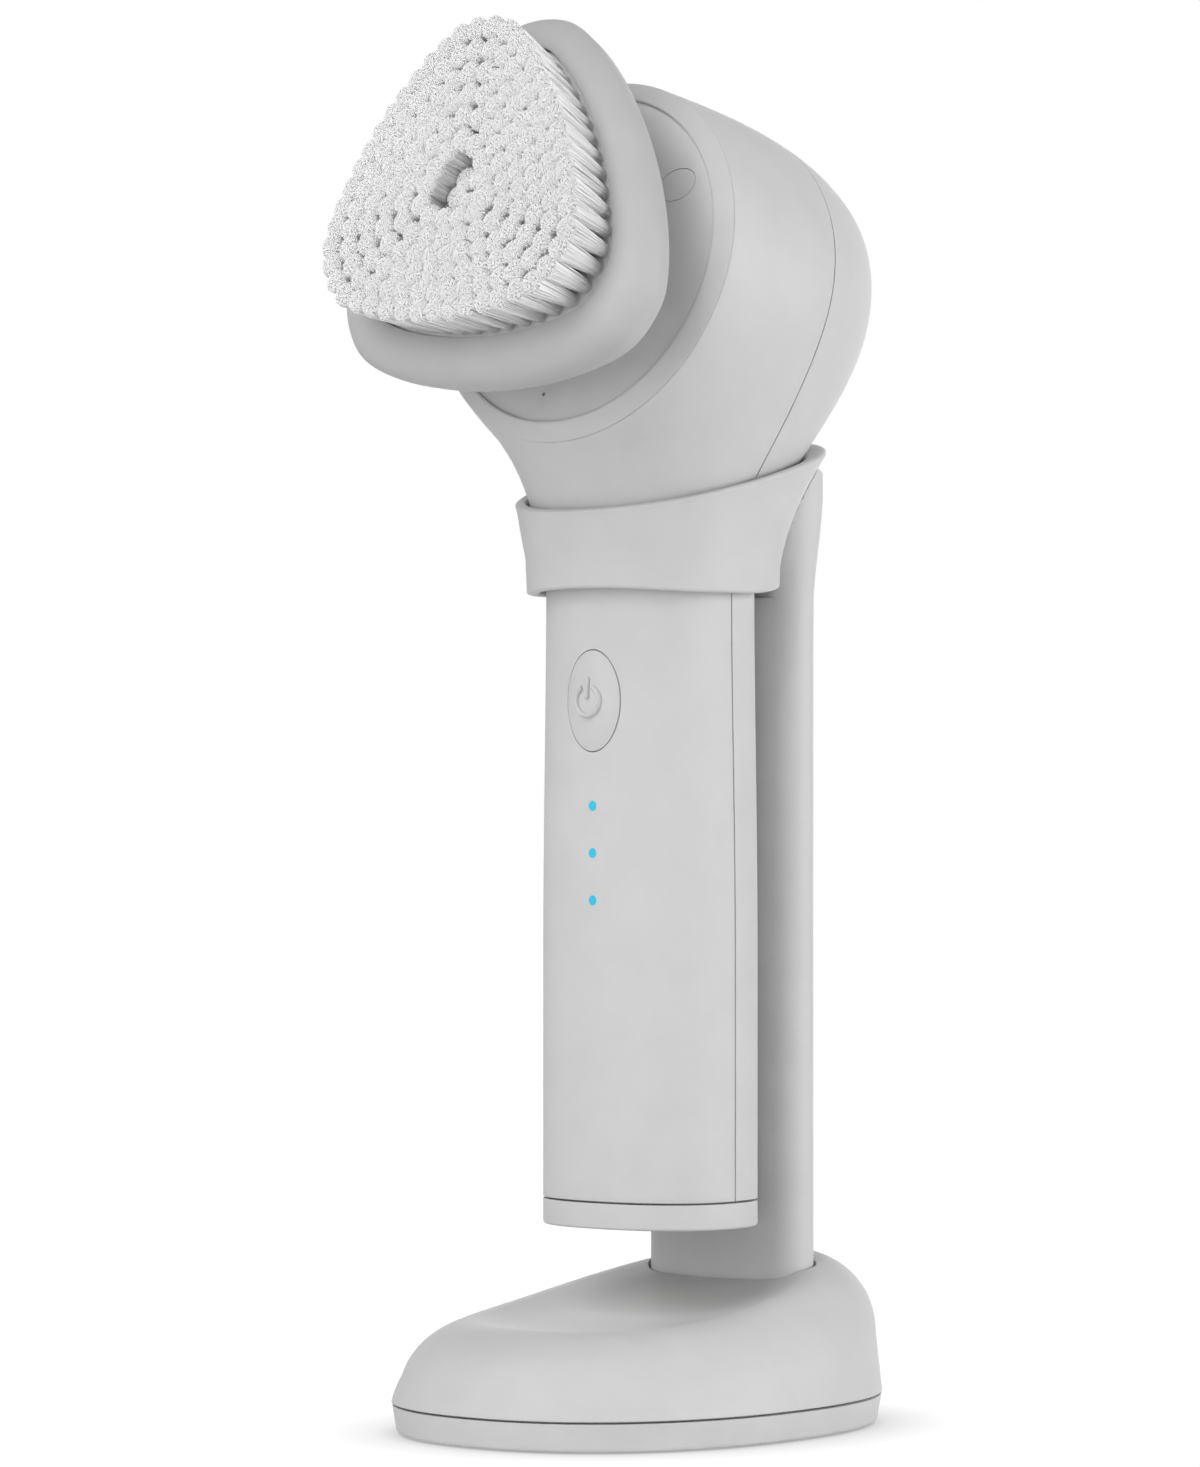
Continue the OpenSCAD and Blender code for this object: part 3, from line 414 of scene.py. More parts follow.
def smooth(piece, sharp):
    """Smooth shading apart from edges sharper than the angle."""
    piece.data.shade_smooth()
    piece.data.set_sharp_from_angle(angle=math.radians(sharp))


def settle(piece, cutters=(), sharp=34):
    """Applies the piece's modifiers and the cutters' openings to its mesh."""
    for cutter in cutters:
        cut = piece.modifiers.new("opening", "BOOLEAN")
        cut.operation = "DIFFERENCE"
        cut.solver = "EXACT"
        cut.object = cutter
    bpy.context.view_layer.update()
    shaped = piece.evaluated_get(bpy.context.evaluated_depsgraph_get())
    mesh = bpy.data.meshes.new_from_object(shaped)
    piece.modifiers.clear()
    piece.data = mesh
    for cutter in cutters:
        bpy.data.objects.remove(cutter)
    smooth(piece, sharp)


def wall(piece, thickness, edge):
    """Gives an open skin its wall, inwards, with softly broken edges."""
    solid = piece.modifiers.new("wall", "SOLIDIFY")
    solid.thickness = thickness * MM
    solid.offset = -1
    solid.use_even_offset = True
    broken = piece.modifiers.new("edge", "BEVEL")
    broken.limit_method = "ANGLE"
    broken.angle_limit = math.radians(50)
    broken.width = edge * MM
    broken.segments = 2


def fit(piece, body, node):
    """Sets a visual piece on its body, in place of its node."""
    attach(piece, body)
    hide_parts(node)


# Materials

CLOUD_SCALE = 140
CLOUD_DETAIL = 4
CLOUD_LOW = 0.25
CLOUD_HIGH = 0.75
GLOSS_SPREAD = 0.05
GRAIN_DETAIL = 2
GRAIN_HEIGHT = 0.00006


def tone(level):
    """Linear value of a grey given as a share of white on the screen."""
    return ((level + 0.055) / 1.055) ** 2.4


def moulded(name, colour, roughness, mottle=0.03, grain=0.06, grain_scale=5200, metallic=0.0):
    """Moulded or machined surface: faint clouds in its colour and gloss, and a fine grain."""
    material = bpy.data.materials.new(name)
    material.use_nodes = True
    nodes = material.node_tree.nodes
    links = material.node_tree.links
    shader = nodes["Principled BSDF"]
    shader.inputs["Metallic"].default_value = metallic
    place = nodes.new("ShaderNodeTexCoord")
    clouds = nodes.new("ShaderNodeTexNoise")
    clouds.inputs["Scale"].default_value = CLOUD_SCALE
    clouds.inputs["Detail"].default_value = CLOUD_DETAIL
    links.new(place.outputs["Object"], clouds.inputs["Vector"])
    shade = nodes.new("ShaderNodeValToRGB")
    shade.color_ramp.elements[0].position = CLOUD_LOW
    shade.color_ramp.elements[1].position = CLOUD_HIGH
    shade.color_ramp.elements[0].color = (*(c * (1 - mottle) for c in colour), 1)
    shade.color_ramp.elements[1].color = (*(min(1, c * (1 + mottle)) for c in colour), 1)
    links.new(clouds.outputs["Fac"], shade.inputs["Fac"])
    links.new(shade.outputs["Color"], shader.inputs["Base Color"])
    gloss = nodes.new("ShaderNodeMapRange")
    gloss.inputs["To Min"].default_value = roughness - GLOSS_SPREAD
    gloss.inputs["To Max"].default_value = roughness + GLOSS_SPREAD
    links.new(clouds.outputs["Fac"], gloss.inputs["Value"])
    links.new(gloss.outputs["Result"], shader.inputs["Roughness"])
    fine = nodes.new("ShaderNodeTexNoise")
    fine.inputs["Scale"].default_value = grain_scale
    fine.inputs["Detail"].default_value = GRAIN_DETAIL
    links.new(place.outputs["Object"], fine.inputs["Vector"])
    bump = nodes.new("ShaderNodeBump")
    bump.inputs["Strength"].default_value = grain
    bump.inputs["Distance"].default_value = GRAIN_HEIGHT
    links.new(fine.outputs["Fac"], bump.inputs["Height"])
    links.new(bump.outputs["Normal"], shader.inputs["Normal"])
    return material


def grey(level):
    """Neutral colour of a grey given as a share of white on the screen."""
    return (tone(level),) * 3


def lit_lens():
    """Clear lens, lit from behind."""
    material = moulded("lit_lens", (0.015, 0.3, 0.42), 0.25, mottle=0.08, grain=0.02)
    shader = material.node_tree.nodes["Principled BSDF"]
    shader.inputs["Emission Color"].default_value = (0.03, 0.5, 0.7, 1)
    shader.inputs["Emission Strength"].default_value = 0.5
    return material


FINISHES = {
    "shell_grey": moulded("soft_touch_grey", grey(0.82), 0.58),
    "face_grey": moulded("face_grey", grey(0.84), 0.6),
    "button_grey": moulded("button_grey", grey(0.82), 0.55),
    "pad_grey": moulded("pad_rubber", grey(0.75), 0.62, grain=0.04),
    "nylon": moulded("fibre_nylon", grey(0.985), 0.5, mottle=0.015, grain=0.03),
    "foot_rubber": moulded(
        "foot_rubber", (0.03, 0.03, 0.03), 0.8, mottle=0.15, grain=0.3, grain_scale=2600
    ),
    "dark_rubber": moulded("seal_rubber", (0.02, 0.02, 0.02), 0.7, mottle=0.15, grain=0.2),
    "dark_plastic": moulded("black_plastic", (0.022, 0.022, 0.024), 0.5, mottle=0.12),
    "lens": lit_lens(),
    "emitter": moulded("emitter_resin", (0.8, 0.8, 0.72), 0.3, mottle=0.05),
    "board": moulded(
        "board_lacquer", (0.012, 0.09, 0.035), 0.35, mottle=0.2, grain=0.15, grain_scale=1800
    ),
    "cell": moulded("cell_sleeve", (0.03, 0.09, 0.26), 0.32, mottle=0.08),
    "steel": moulded("plain_steel", (0.46, 0.46, 0.48), 0.3, mottle=0.06, grain=0.12, metallic=1.0),
    "magnet": moulded("plated_magnet", (0.2, 0.2, 0.21), 0.4, mottle=0.1, grain=0.15, metallic=1.0),
    "brass": moulded("turned_brass", (0.6, 0.42, 0.16), 0.28, mottle=0.06, grain=0.1, metallic=1.0),
}

for part in frame["record"]["subparts"]:
    node = frame["nodes"][part["node"]]
    node.data.materials.clear()
    node.data.materials.append(FINISHES[part["material_slot"]])


# Grip and head shells

def brush_skin(bm):
    """Outer skin of grip and head, open at both ends."""
    foot = CAP_SEAM_Z + SEAM / 2
    heights = [foot + (ELBOW_Z - CAP_SEAM_Z) * i / GRIP_STEPS for i in range(GRIP_STEPS)]
    shares = [(i / NECK_STEPS) ** NECK_GATHER for i in range(NECK_STEPS + 1)]
    stations = [grip_station(z) for z in heights] + [neck_station(s) for s in shares]
    loft(bm, [skin_ring(station, 0, SKIN_SIDES) for station in stations])


def cut_at_seam(bm, side):
    """Keeps the skin in front of the shells' seam, side 1, or behind it, side -1."""
    bmesh.ops.bisect_plane(
        bm, geom=bm.verts[:] + bm.edges[:] + bm.faces[:], dist=CUT_SNAP,
        plane_co=(0, 0, SEAM_BEND_Z), plane_no=(0, 0, 1),
    )
    corner = (0, GRIP_Y - side * SEAM / 2, SEAM_BEND_Z)
    lean = (0, math.cos(HEAD_TILT), -math.sin(HEAD_TILT))
    for upper, normal in ((False, (0, 1, 0)), (True, lean)):
        faces = [f for f in bm.faces if (f.calc_center_median().z > SEAM_BEND_Z) == upper]
        edges = list(dict.fromkeys(e for f in faces for e in f.edges))
        verts = list(dict.fromkeys(v for f in faces for v in f.verts))
        bmesh.ops.bisect_plane(
            bm, geom=verts + edges + faces, dist=CUT_SNAP, plane_co=corner, plane_no=normal,
            clear_outer=side > 0, clear_inner=side < 0,
        )
    bmesh.ops.remove_doubles(bm, verts=bm.verts, dist=WELD)


def button_ring(grow, y):
    """Ring of the button's outline at a depth, moved outwards."""
    turns = [2 * math.pi * i / BUTTON_SIDES for i in range(BUTTON_SIDES)]
    return [
        ((BUTTON_HALF_W + grow) * math.cos(t), y, BUTTON_Z + (BUTTON_HALF_H + grow) * math.sin(t))
        for t in turns
    ]


def button_cutter():
    bm = bmesh.new()
    depths = (GRIP_FRONT - BUTTON_CUT_PAST, GRIP_FRONT + BUTTON_DEEP)
    loft(bm, [button_ring(BUTTON_GAP, y) for y in depths], floor=True, roof=True)
    return dressed(bm, "button_cutter", FINISHES["shell_grey"])


def led_cutter(z):
    bm = bmesh.new()
    radius = LED_R + LED_GAP
    bmesh.ops.create_cone(
        bm, cap_ends=True, segments=LED_SIDES, radius1=radius, radius2=radius, depth=LED_CUT
    )
    bmesh.ops.rotate(bm, cent=(0, 0, 0), matrix=Matrix.Rotation(math.pi / 2, 3, "X"), verts=bm.verts)
    bmesh.ops.translate(bm, vec=(0, GRIP_FRONT, z), verts=bm.verts)
    return dressed(bm, "led_cutter", FINISHES["shell_grey"])


def brush_shell(name, node, side, cutters):
    """One half of the handpiece's casing, with its openings."""
    bm = bmesh.new()
    brush_skin(bm)
    cut_at_seam(bm, side)
    piece = dressed(bm, name, FINISHES["shell_grey"])
    wall(piece, SHELL_WALL, BROKEN_EDGE)
    settle(piece, cutters)
    fit(piece, "handpiece", node)


brush_shell("front_skin", "front_shell", 1, [button_cutter()] + [led_cutter(z) for z in LED_Z])
brush_shell("rear_skin", "rear_shell", -1, [])


def cap_ring(inset, z):
    """Ring of the grip's outline at its foot, moved inwards."""
    outline = oval(GRIP_HALF_W - inset, GRIP_HALF_D - inset, GRIP_SQUARE, SKIN_SIDES)
    return [(a, b + GRIP_Y, z) for a, b in outline]


def end_cap():
    """Cap with a rounded foot, a shoulder at the seam and a plug inside the grip."""
    bm = bmesh.new()
    rings = [
        cap_ring(CAP_EDGE * (1 - math.sin(t)), CAP_Z + CAP_EDGE * (1 - math.cos(t)))
        for t in quarter_turns(CAP_STEPS)
    ]
    top = CAP_SEAM_Z - SEAM / 2
    plug = SHELL_WALL + PLUG_GAP
    rings += [cap_ring(0, top - BROKEN_EDGE), cap_ring(BROKEN_EDGE, top)]
    rings += [cap_ring(plug, top), cap_ring(plug, CAP_SEAM_Z + PLUG_LEN)]
    loft(bm, rings, floor=True, roof=True)
    fit(dressed(bm, "grip_end_cap", FINISHES["shell_grey"]), "handpiece", "end_cap")


end_cap()


def face_ring():
    """Bevelled ring round the face, its edges rounded."""
    bm = bmesh.new()
    inner = FACE_R - RING_BAND
    plug = FACE_R - SHELL_WALL - RING_PLUG_GAP
    seat = FACE_HOLE_R - RING_SEAT
    foot = FACE_BACK - RING_FOOT
    profile = [(seat, foot), (plug, foot), (plug, RING_LIFT)]
    profile += [(FACE_R - inset, z) for inset, z in RING_OUTER_EDGE]
    profile += [(inner + out, RING_RISE - drop) for out, drop in RING_CREST]
    profile += [(FACE_HOLE_R + out, RING_RISE - drop) for out, drop in RING_INNER_EDGE]
    profile += [(FACE_HOLE_R, FACE_BACK), (seat, FACE_BACK)]
    lathe(bm, profile, FACE_SIDES)
    bmesh.ops.transform(bm, matrix=HEAD, verts=bm.verts)
    fit(dressed(bm, "face_ring", FINISHES["shell_grey"]), "handpiece", "bezel_ring")


face_ring()


def face_oval(middle, half_w, half_h, turn, low, high):
    """Upright oval rod on the face, as two rings."""
    lean = Matrix.Rotation(turn, 2)
    outline = [middle + lean @ Vector(point) for point in oval(half_w, half_h, 2, OVAL_SIDES)]
    return [[(*point, z) for point in outline] for z in (low, high)]


def face_rod(name, rings):
    """Closed rod through rings that are given on the face."""
    bm = bmesh.new()
    loft(bm, rings, floor=True, roof=True)
    bmesh.ops.transform(bm, matrix=HEAD, verts=bm.verts)
    return dressed(bm, name, FINISHES["face_grey"])


def face_disc():
    """Recessed face with a fine vent and a pocket for its oval cover."""
    bm = bmesh.new()
    rim = FACE_HOLE_R - DISC_GAP
    profile = [(SEAL_R, FACE_BACK), (rim, FACE_BACK)]
    profile += [(rim - inset, FACE_FRONT - drop) for inset, drop in DISC_EDGE]
    profile += [(SEAL_R + DISC_BREAK, FACE_FRONT), (SEAL_R, FACE_FRONT - DISC_BREAK)]
    lathe(bm, profile, FACE_SIDES)
    bmesh.ops.transform(bm, matrix=HEAD, verts=bm.verts)
    piece = dressed(bm, "face_disc", FINISHES["face_grey"])
    floor = FACE_FRONT - COVER_DEEP
    past = FACE_FRONT + CUT_PAST
    cover = face_oval(COVER_AT, COVER_HALF_W, COVER_HALF_H, COVER_TURN, floor, past)
    vent = face_oval(VENT_AT, VENT_R, VENT_R, 0, FACE_BACK - CUT_PAST, past)
    settle(piece, [face_rod("cover_cutter", cover), face_rod("vent_cutter", vent)])
    fit(piece, "handpiece", "face_plate")


def cover_rings(inset, low, high):
    """Rings of the cover's outline, moved inwards."""
    half_w = COVER_HALF_W - COVER_GAP - inset
    half_h = COVER_HALF_H - COVER_GAP - inset
    return face_oval(COVER_AT, half_w, half_h, COVER_TURN, low, high)


def face_cover():
    """Oval cover, flush with the face, its upper edge broken."""
    rings = cover_rings(0, FACE_FRONT - COVER_DEEP + COVER_FOOT_GAP, FACE_FRONT - COVER_EDGE)
    rings += cover_rings(COVER_EDGE, FACE_FRONT, FACE_FRONT)[:1]
    fit(face_rod("face_cover", rings), "handpiece", "face_plug")


def face_standoffs():
    """Three bored standoffs behind the face, which carry the motor."""
    bm = bmesh.new()
    for turn in (math.radians(a) for a in STANDOFF_TURNS):
        middle = STANDOFF_RING * Vector((math.cos(turn), math.sin(turn)))
        skin = face_oval(middle, STANDOFF_R, STANDOFF_R, 0, STANDOFF_FOOT, FACE_BACK)
        bore = face_oval(middle, STANDOFF_BORE_R, STANDOFF_BORE_R, 0, FACE_BACK, STANDOFF_FOOT)
        loft(bm, skin + bore, closed=True)
    bmesh.ops.transform(bm, matrix=HEAD, verts=bm.verts)
    fit(dressed(bm, "face_standoffs", FINISHES["face_grey"]), "handpiece", "face_plate")


face_disc()
face_cover()
face_standoffs()


# Power button

def crown_y(x, z):
    """Depth of the button's domed front at x and z from its middle."""
    out = (x / BUTTON_HALF_W) ** 2 + (z / BUTTON_HALF_H) ** 2
    return GRIP_FRONT - BUTTON_PROUD + x * x / (2 * BUTTON_CROWN_R) - BUTTON_DOME * (1 - out)


def crown_ring(share, sink):
    """Ring on the button's domed front, at a share of its outline."""
    return [
        (share * x, crown_y(share * x, share * (z - BUTTON_Z)) + sink, BUTTON_Z + share * (z - BUTTON_Z))
        for x, _, z in button_ring(0, 0)
    ]


def power_button():
    """Domed button, its rim a hair proud of the grip, with a raised ring and bar symbol."""
    bm = bmesh.new()
    rings = [button_ring(0, GRIP_FRONT + BUTTON_DEEP)]
    rings += [crown_ring(share, sink) for share, sink in BUTTON_RIM]
    rings += [crown_ring(i / BUTTON_STEPS, 0) for i in range(BUTTON_STEPS - 1, 0, -1)]
    loft(bm, rings, floor=True, roof=True)
    symbol(bm)
    fit(dressed(bm, "button_cap", FINISHES["button_grey"]), "button", "power_button")


def symbol(bm):
    """Open ring with a bar in its gap, as round lines that stand half out of the button."""
    line = bmesh.new()
    spot = bmesh.ops.create_circle(line, segments=SYMBOL_SIDES, radius=SYMBOL_LINE)["verts"]
    bmesh.ops.rotate(line, cent=(0, 0, 0), matrix=Matrix.Rotation(math.pi / 2, 3, "Y"), verts=spot)
    bmesh.ops.translate(line, vec=(0, 0, SYMBOL_R), verts=spot)
    bmesh.ops.rotate(line, cent=(0, 0, 0), matrix=Matrix.Rotation(SYMBOL_OPENING, 3, "Y"), verts=spot)
    bmesh.ops.spin(
        line, geom=spot + line.edges[:], cent=(0, 0, 0), axis=(0, 1, 0),
        angle=2 * math.pi - 2 * SYMBOL_OPENING, steps=SYMBOL_STEPS,
    )
    bmesh.ops.holes_fill(line, edges=line.edges, sides=SYMBOL_SIDES)
    bar = bmesh.ops.create_uvsphere(
        line, u_segments=SYMBOL_SIDES, v_segments=SYMBOL_END_STEPS, radius=SYMBOL_LINE
    )["verts"]
    for vert in bar:
        vert.co.z += SYMBOL_BAR[1] if vert.co.z > 0 else SYMBOL_BAR[0]
    bmesh.ops.scale(line, vec=(1, SYMBOL_RELIEF, 1), verts=line.verts)
    for vert in line.verts:
        vert.co.y += crown_y(vert.co.x, vert.co.z) - SYMBOL_LIFT
    bmesh.ops.translate(line, vec=(0, 0, BUTTON_Z), verts=line.verts)
    shape = bpy.data.meshes.new("symbol")
    line.to_mesh(shape)
    line.free()
    bm.from_mesh(shape)
    bpy.data.meshes.remove(shape)


power_button()


# Stand

def base_top(y):
    """Height of the base's sloping top, without its dish."""
    return BASE_CREST + BASE_SLOPE * y + BASE_BEND * y * y


def base_round_ring(turn):
    """Ring on the casing's upper rounding, turn 0 at the wall and a quarter turn on the top."""
    foot = BASE_SEAM_Z + BASE_SEAM / 2
    inset = BASE_ROUND * (1 - math.cos(turn))
    ring = []
    for x, y in oval(BASE_HALF_W - inset, BASE_HALF_D - inset, BASE_SQUARE, BASE_SIDES):
        top = base_top(y * (1 - BASE_DRAFT / BASE_HALF_D))
        drop = min(BASE_ROUND, top - BASE_SEAM_Z - BASE_SIDE_LOW)
        z = top - drop * (1 - math.sin(turn))
        draft = BASE_DRAFT * min(1, (z - foot) / max(BASE_DRAFT_H, top - drop - foot))
        ring.append((x * (1 - draft / BASE_HALF_W), y * (1 - draft / BASE_HALF_D), z))
    return ring


def base_shell():
    """Sloped casing with a full, rounded upper edge, a shallow dish on top and a slot for the post."""
    bm = bmesh.new()
    foot = BASE_SEAM_Z + BASE_SEAM / 2
    rings = [[(x, y, foot) for x, y in oval(BASE_HALF_W, BASE_HALF_D, BASE_SQUARE, BASE_SIDES)]]
    rings += [base_round_ring(turn) for turn in quarter_turns(BASE_STEPS)]
    inner = rings[-1]
    for i in range(DISH_STEPS - 1, 0, -1):
        share = i / DISH_STEPS
        dip = BASE_DISH * (1 - share ** BASE_DISH_POWER)
        rings.append([(x * share, y * share, base_top(y * share) - dip) for x, y, _ in inner])
    loft(bm, rings, roof=True)
    piece = dressed(bm, "base_casing", FINISHES["shell_grey"])
    wall(piece, BASE_WALL, BROKEN_EDGE)
    settle(piece, [slot_cutter()])
    fit(piece, "stand", "base_shell")


def post_outline(grow=0.0):
    """Outline of the post round its own middle: rear side from right to left, then the front."""
    flat = (POST_W - POST_T) / 2
    r = POST_T / 2 + grow
    corner = [math.pi / 2 * (i + 0.5) / POST_CORNER_STEPS for i in range(POST_CORNER_STEPS)]
    half = [(flat + r * math.cos(a), r * math.sin(a)) for a in corner]
    half += [(flat * (1 - i / POST_FLAT_STEPS), r) for i in range(2 * POST_FLAT_STEPS + 1)]
    half += [(-flat - r * math.cos(a), r * math.sin(a)) for a in reversed(corner)]
    return half + [(x, -y) for x, y in reversed(half)]


def slot_cutter():
    bm = bmesh.new()
    rings = [[(x, y + POST_MID, z) for x, y in post_outline(SLOT_GAP)] for z in SLOT_CUT]
    loft(bm, rings, floor=True, roof=True)
    return dressed(bm, "slot_cutter", FINISHES["shell_grey"])


base_shell()


def base_plate():
    """Lower plate with a rounded bevel and a pocket for the rubber foot."""
    bm = bmesh.new()
    top = BASE_SEAM_Z - BASE_SEAM / 2
    steps = [(FOOT_MARGIN, FOOT_SHEET), (FOOT_MARGIN, PLATE_LIFT)]
    steps += [(inset, PLATE_LIFT + rise) for inset, rise in PLATE_EDGE]
    steps += [(PLATE_TOP_INSET, top - BROKEN_EDGE), (PLATE_TOP_INSET + BROKEN_EDGE, top)]
    rings = []
    for inset, z in steps:
        outline = oval(BASE_HALF_W - inset, BASE_HALF_D - inset, BASE_SQUARE, BASE_SIDES)
        rings.append([(x, y, z) for x, y in outline])
    loft(bm, rings, floor=True, roof=True)
    fit(dressed(bm, "base_foot_plate", FINISHES["shell_grey"]), "stand", "base_plate")


base_plate()


def cradle_station(share):
    """Station of the neck that the cradle follows, the grip's end below it."""
    return grip_station(ELBOW_Z) if share <= 0 else neck_station(share)


def cradle_gap(share):
    """Clearance between neck and cradle, closing towards the rim."""
    return CRADLE_LOW_GAP + (CRADLE_RIM_GAP - CRADLE_LOW_GAP) * soft(share / CRADLE_RIM)


def cradle_wall_station(share, outwards):
    """Station of the cradle's wall, from its inside, outwards 0, to its thicker outside, outwards 1."""
    front, rear, half, square = cradle_station(share)
    back = CRADLE_BACK * (1 + max(0, share) / CRADLE_RIM) * outwards
    return front, rear + back * (rear - front).normalized(), half, square


def cradle_back(share, x):
    """Point (y, z) of the cradle's back at a share of the neck and x to the side."""
    front, rear, half, square = cradle_wall_station(share, 1)
    grow = cradle_gap(share) + CRADLE_WALL + POST_GAP
    side = min(1, abs(x) / (half + grow))
    reach = ((rear - front).length / 2 + grow) * (1 - side ** square) ** (1 / square)
    return (front + rear) / 2 + reach * (rear - front).normalized()


def cradle_back_y(x, z):
    """Depth of the cradle's back at x and z, found by halving the range of shares."""
    low = 0.0
    high = CRADLE_SEARCH
    for _ in range(CRADLE_HALVINGS):
        middle = (low + high) / 2
        if cradle_back(middle, x).y < z:
            low = middle
        else:
            high = middle
    return cradle_back(low, x).x


def stand_post():
    """Flat upright that flares back at its top and follows the cradle's back."""
    bm = bmesh.new()
    outline = post_outline()

    def ring(z, trim, clear):
        flare = POST_FLARE * soft((z - POST_TOP_Z + 3 * POST_EDGE) / POST_FLARE_H + 1)
        points = []
        for a, b in outline:
            x = a * (1 - 2 * trim / POST_W)
            share = b / POST_T + 0.5
            y = POST_MID + b + share * (flare - trim)
            if clear:
                y = max(y, cradle_back_y(x, z) + share * POST_SKIN)
            points.append((x, y, z))
        return points

    tall = CRADLE_Z - BASE_SEAM_Z
    rings = [ring(BASE_SEAM_Z + tall * i / POST_LOW_STEPS, 0, False) for i in range(POST_LOW_STEPS)]
    rings += [ring(CRADLE_Z - 2 * POST_GAP, 0, False)]
    low = CRADLE_Z - POST_GAP
    tall = POST_TOP_Z - POST_EDGE - low
    rings += [ring(low + tall * i / POST_HIGH_STEPS, 0, True) for i in range(POST_HIGH_STEPS + 1)]
    for turn in quarter_turns(POST_EDGE_STEPS)[1:]:
        trim = POST_EDGE * (1 - math.cos(turn))
        rings.append(ring(POST_TOP_Z - POST_EDGE * (1 - math.sin(turn)), trim, True))
    loft(bm, rings, floor=True, roof=True)
    fit(dressed(bm, "upright_post", FINISHES["shell_grey"]), "stand", "stand_post")


stand_post()


def cradle_low_ring(outwards, z):
    """Ring of the cradle's lower lip, arched at the front and rising at the back."""
    station = cradle_wall_station(0, outwards)
    grow = CRADLE_LOW_GAP + CRADLE_WALL * outwards
    ring = []
    for x, y, _ in skin_ring(station, grow, CRADLE_SIDES):
        arch = max(0, (GRIP_Y - y) / (GRIP_Y - station[0].x + grow))
        tail = max(0, (y - GRIP_Y) / (station[1].x - GRIP_Y + grow))
        wave = CRADLE_WAVE * arch ** CRADLE_WAVE_POWER
        ring.append((x, y, z + wave + CRADLE_TAIL * tail ** CRADLE_TAIL_POWER))
    return ring


def cradle_ring():
    """Flared collar with rounded lips, thicker at its back."""
    bm = bmesh.new()
    turns = [math.pi * i / CRADLE_LIP_STEPS for i in range(CRADLE_LIP_STEPS + 1)]
    rings = []
    for t in turns:
        z = CRADLE_Z + CRADLE_LIP * (1 - math.sin(t) ** CRADLE_LIP_POWER)
        rings.append(cradle_low_ring((1 - math.cos(t)) / 2, z))
    shares = [CRADLE_RIM * i / CRADLE_STEPS for i in range(1, CRADLE_STEPS + 1)]

    def wall_ring(share, outwards):
        gap = cradle_gap(share) + CRADLE_WALL * outwards
        return skin_ring(cradle_wall_station(share, outwards), gap, CRADLE_SIDES)

    rings += [wall_ring(s, 1) for s in shares]
    for t in turns[1:-1]:
        rings.append(wall_ring(CRADLE_RIM + CRADLE_RIM_ROUND * math.sin(t), (1 + math.cos(t)) / 2))
    rings += [wall_ring(s, 0) for s in reversed(shares)]
    loft(bm, rings, closed=True)
    fit(dressed(bm, "neck_cradle", FINISHES["shell_grey"], 50), "stand", "cradle_ring")


cradle_ring()


# Brush head

def brush_pad():
    """Three-cornered soft pad with a rounded rim and a sunken floor for the tufts."""
    bm = bmesh.new()
    rings = [pad_ring(PLATE_INSET, PAD_BACK + PLATE_T), pad_ring(PLATE_INSET, PAD_BACK)]
    rings += [pad_ring(inset, PAD_BACK + rise) for inset, rise in PAD_BACK_EDGE]
    rings += [pad_ring(inset, PAD_CREASE - drop) for inset, drop in PAD_SIDE]
    for turn in quarter_turns(PAD_STEPS)[1:]:
        rings.append(pad_ring(PAD_ROUND * (1 - math.cos(turn)), PAD_CREASE + PAD_DOME * math.sin(turn)))
    rim = PAD_CREASE + PAD_DOME
    rings += [field_ring(grow, rim - drop) for grow, drop in FIELD_LIP]
    rings += [field_ring(FIELD_GAP, FIELD_FLOOR - BACKING_T)]
    loft(bm, rings, floor=True, roof=True)
    bmesh.ops.transform(bm, matrix=HEAD, verts=bm.verts)
    fit(dressed(bm, "tuft_pad", FINISHES["pad_grey"]), "brush_head", "brush_pad")


brush_pad()

# Tufts stand in concentric rows, each given as a share of the field's outline about its hub
TUFT_ROWS = (0.93, 0.798, 0.666, 0.534, 0.4, 0.262)
TUFT_PITCH = 3.15
TUFT_ROOT_R = 1.1
TUFT_TIP_R = 1.95
TUFT_DOME = 0.5
TUFT_DOME_POWER = 6
TUFT_RAGGED = 0.06
TUFT_SHARP = 80
TUFT_KINDS = 5
TUFT_SEED = 7
FIBRES = 640
FIBRE_TIP_R = 0.103
FIBRE_STRAY = 0.09
FIBRE_TURN = math.radians(137.5)
FIBRE_TURN_STRAY = 0.2
OUTLINE_POINTS = 720
# The row in the middle, which stands lower
WELL_ROW = 0.1
WELL_TALL = 0.7


def tuft_places(share):
    """Places of a row's tufts, evenly spaced along the field's outline."""
    outline = [Vector(point[:2]) for point in field_ring(0, 0, OUTLINE_POINTS)]
    middle = Vector((0, FIELD_HUB))
    outline = [middle + (p - middle) * share for p in outline]
    steps = [(b - a).length for a, b in zip(outline, outline[1:] + outline[:1])]
    count = round(sum(steps) / TUFT_PITCH)
    spacing = sum(steps) / count
    places = []
    gone = 0.0
    for point, step in zip(outline, steps):
        if gone >= len(places) * spacing and len(places) < count:
            places.append(point)
        gone += step
    return places


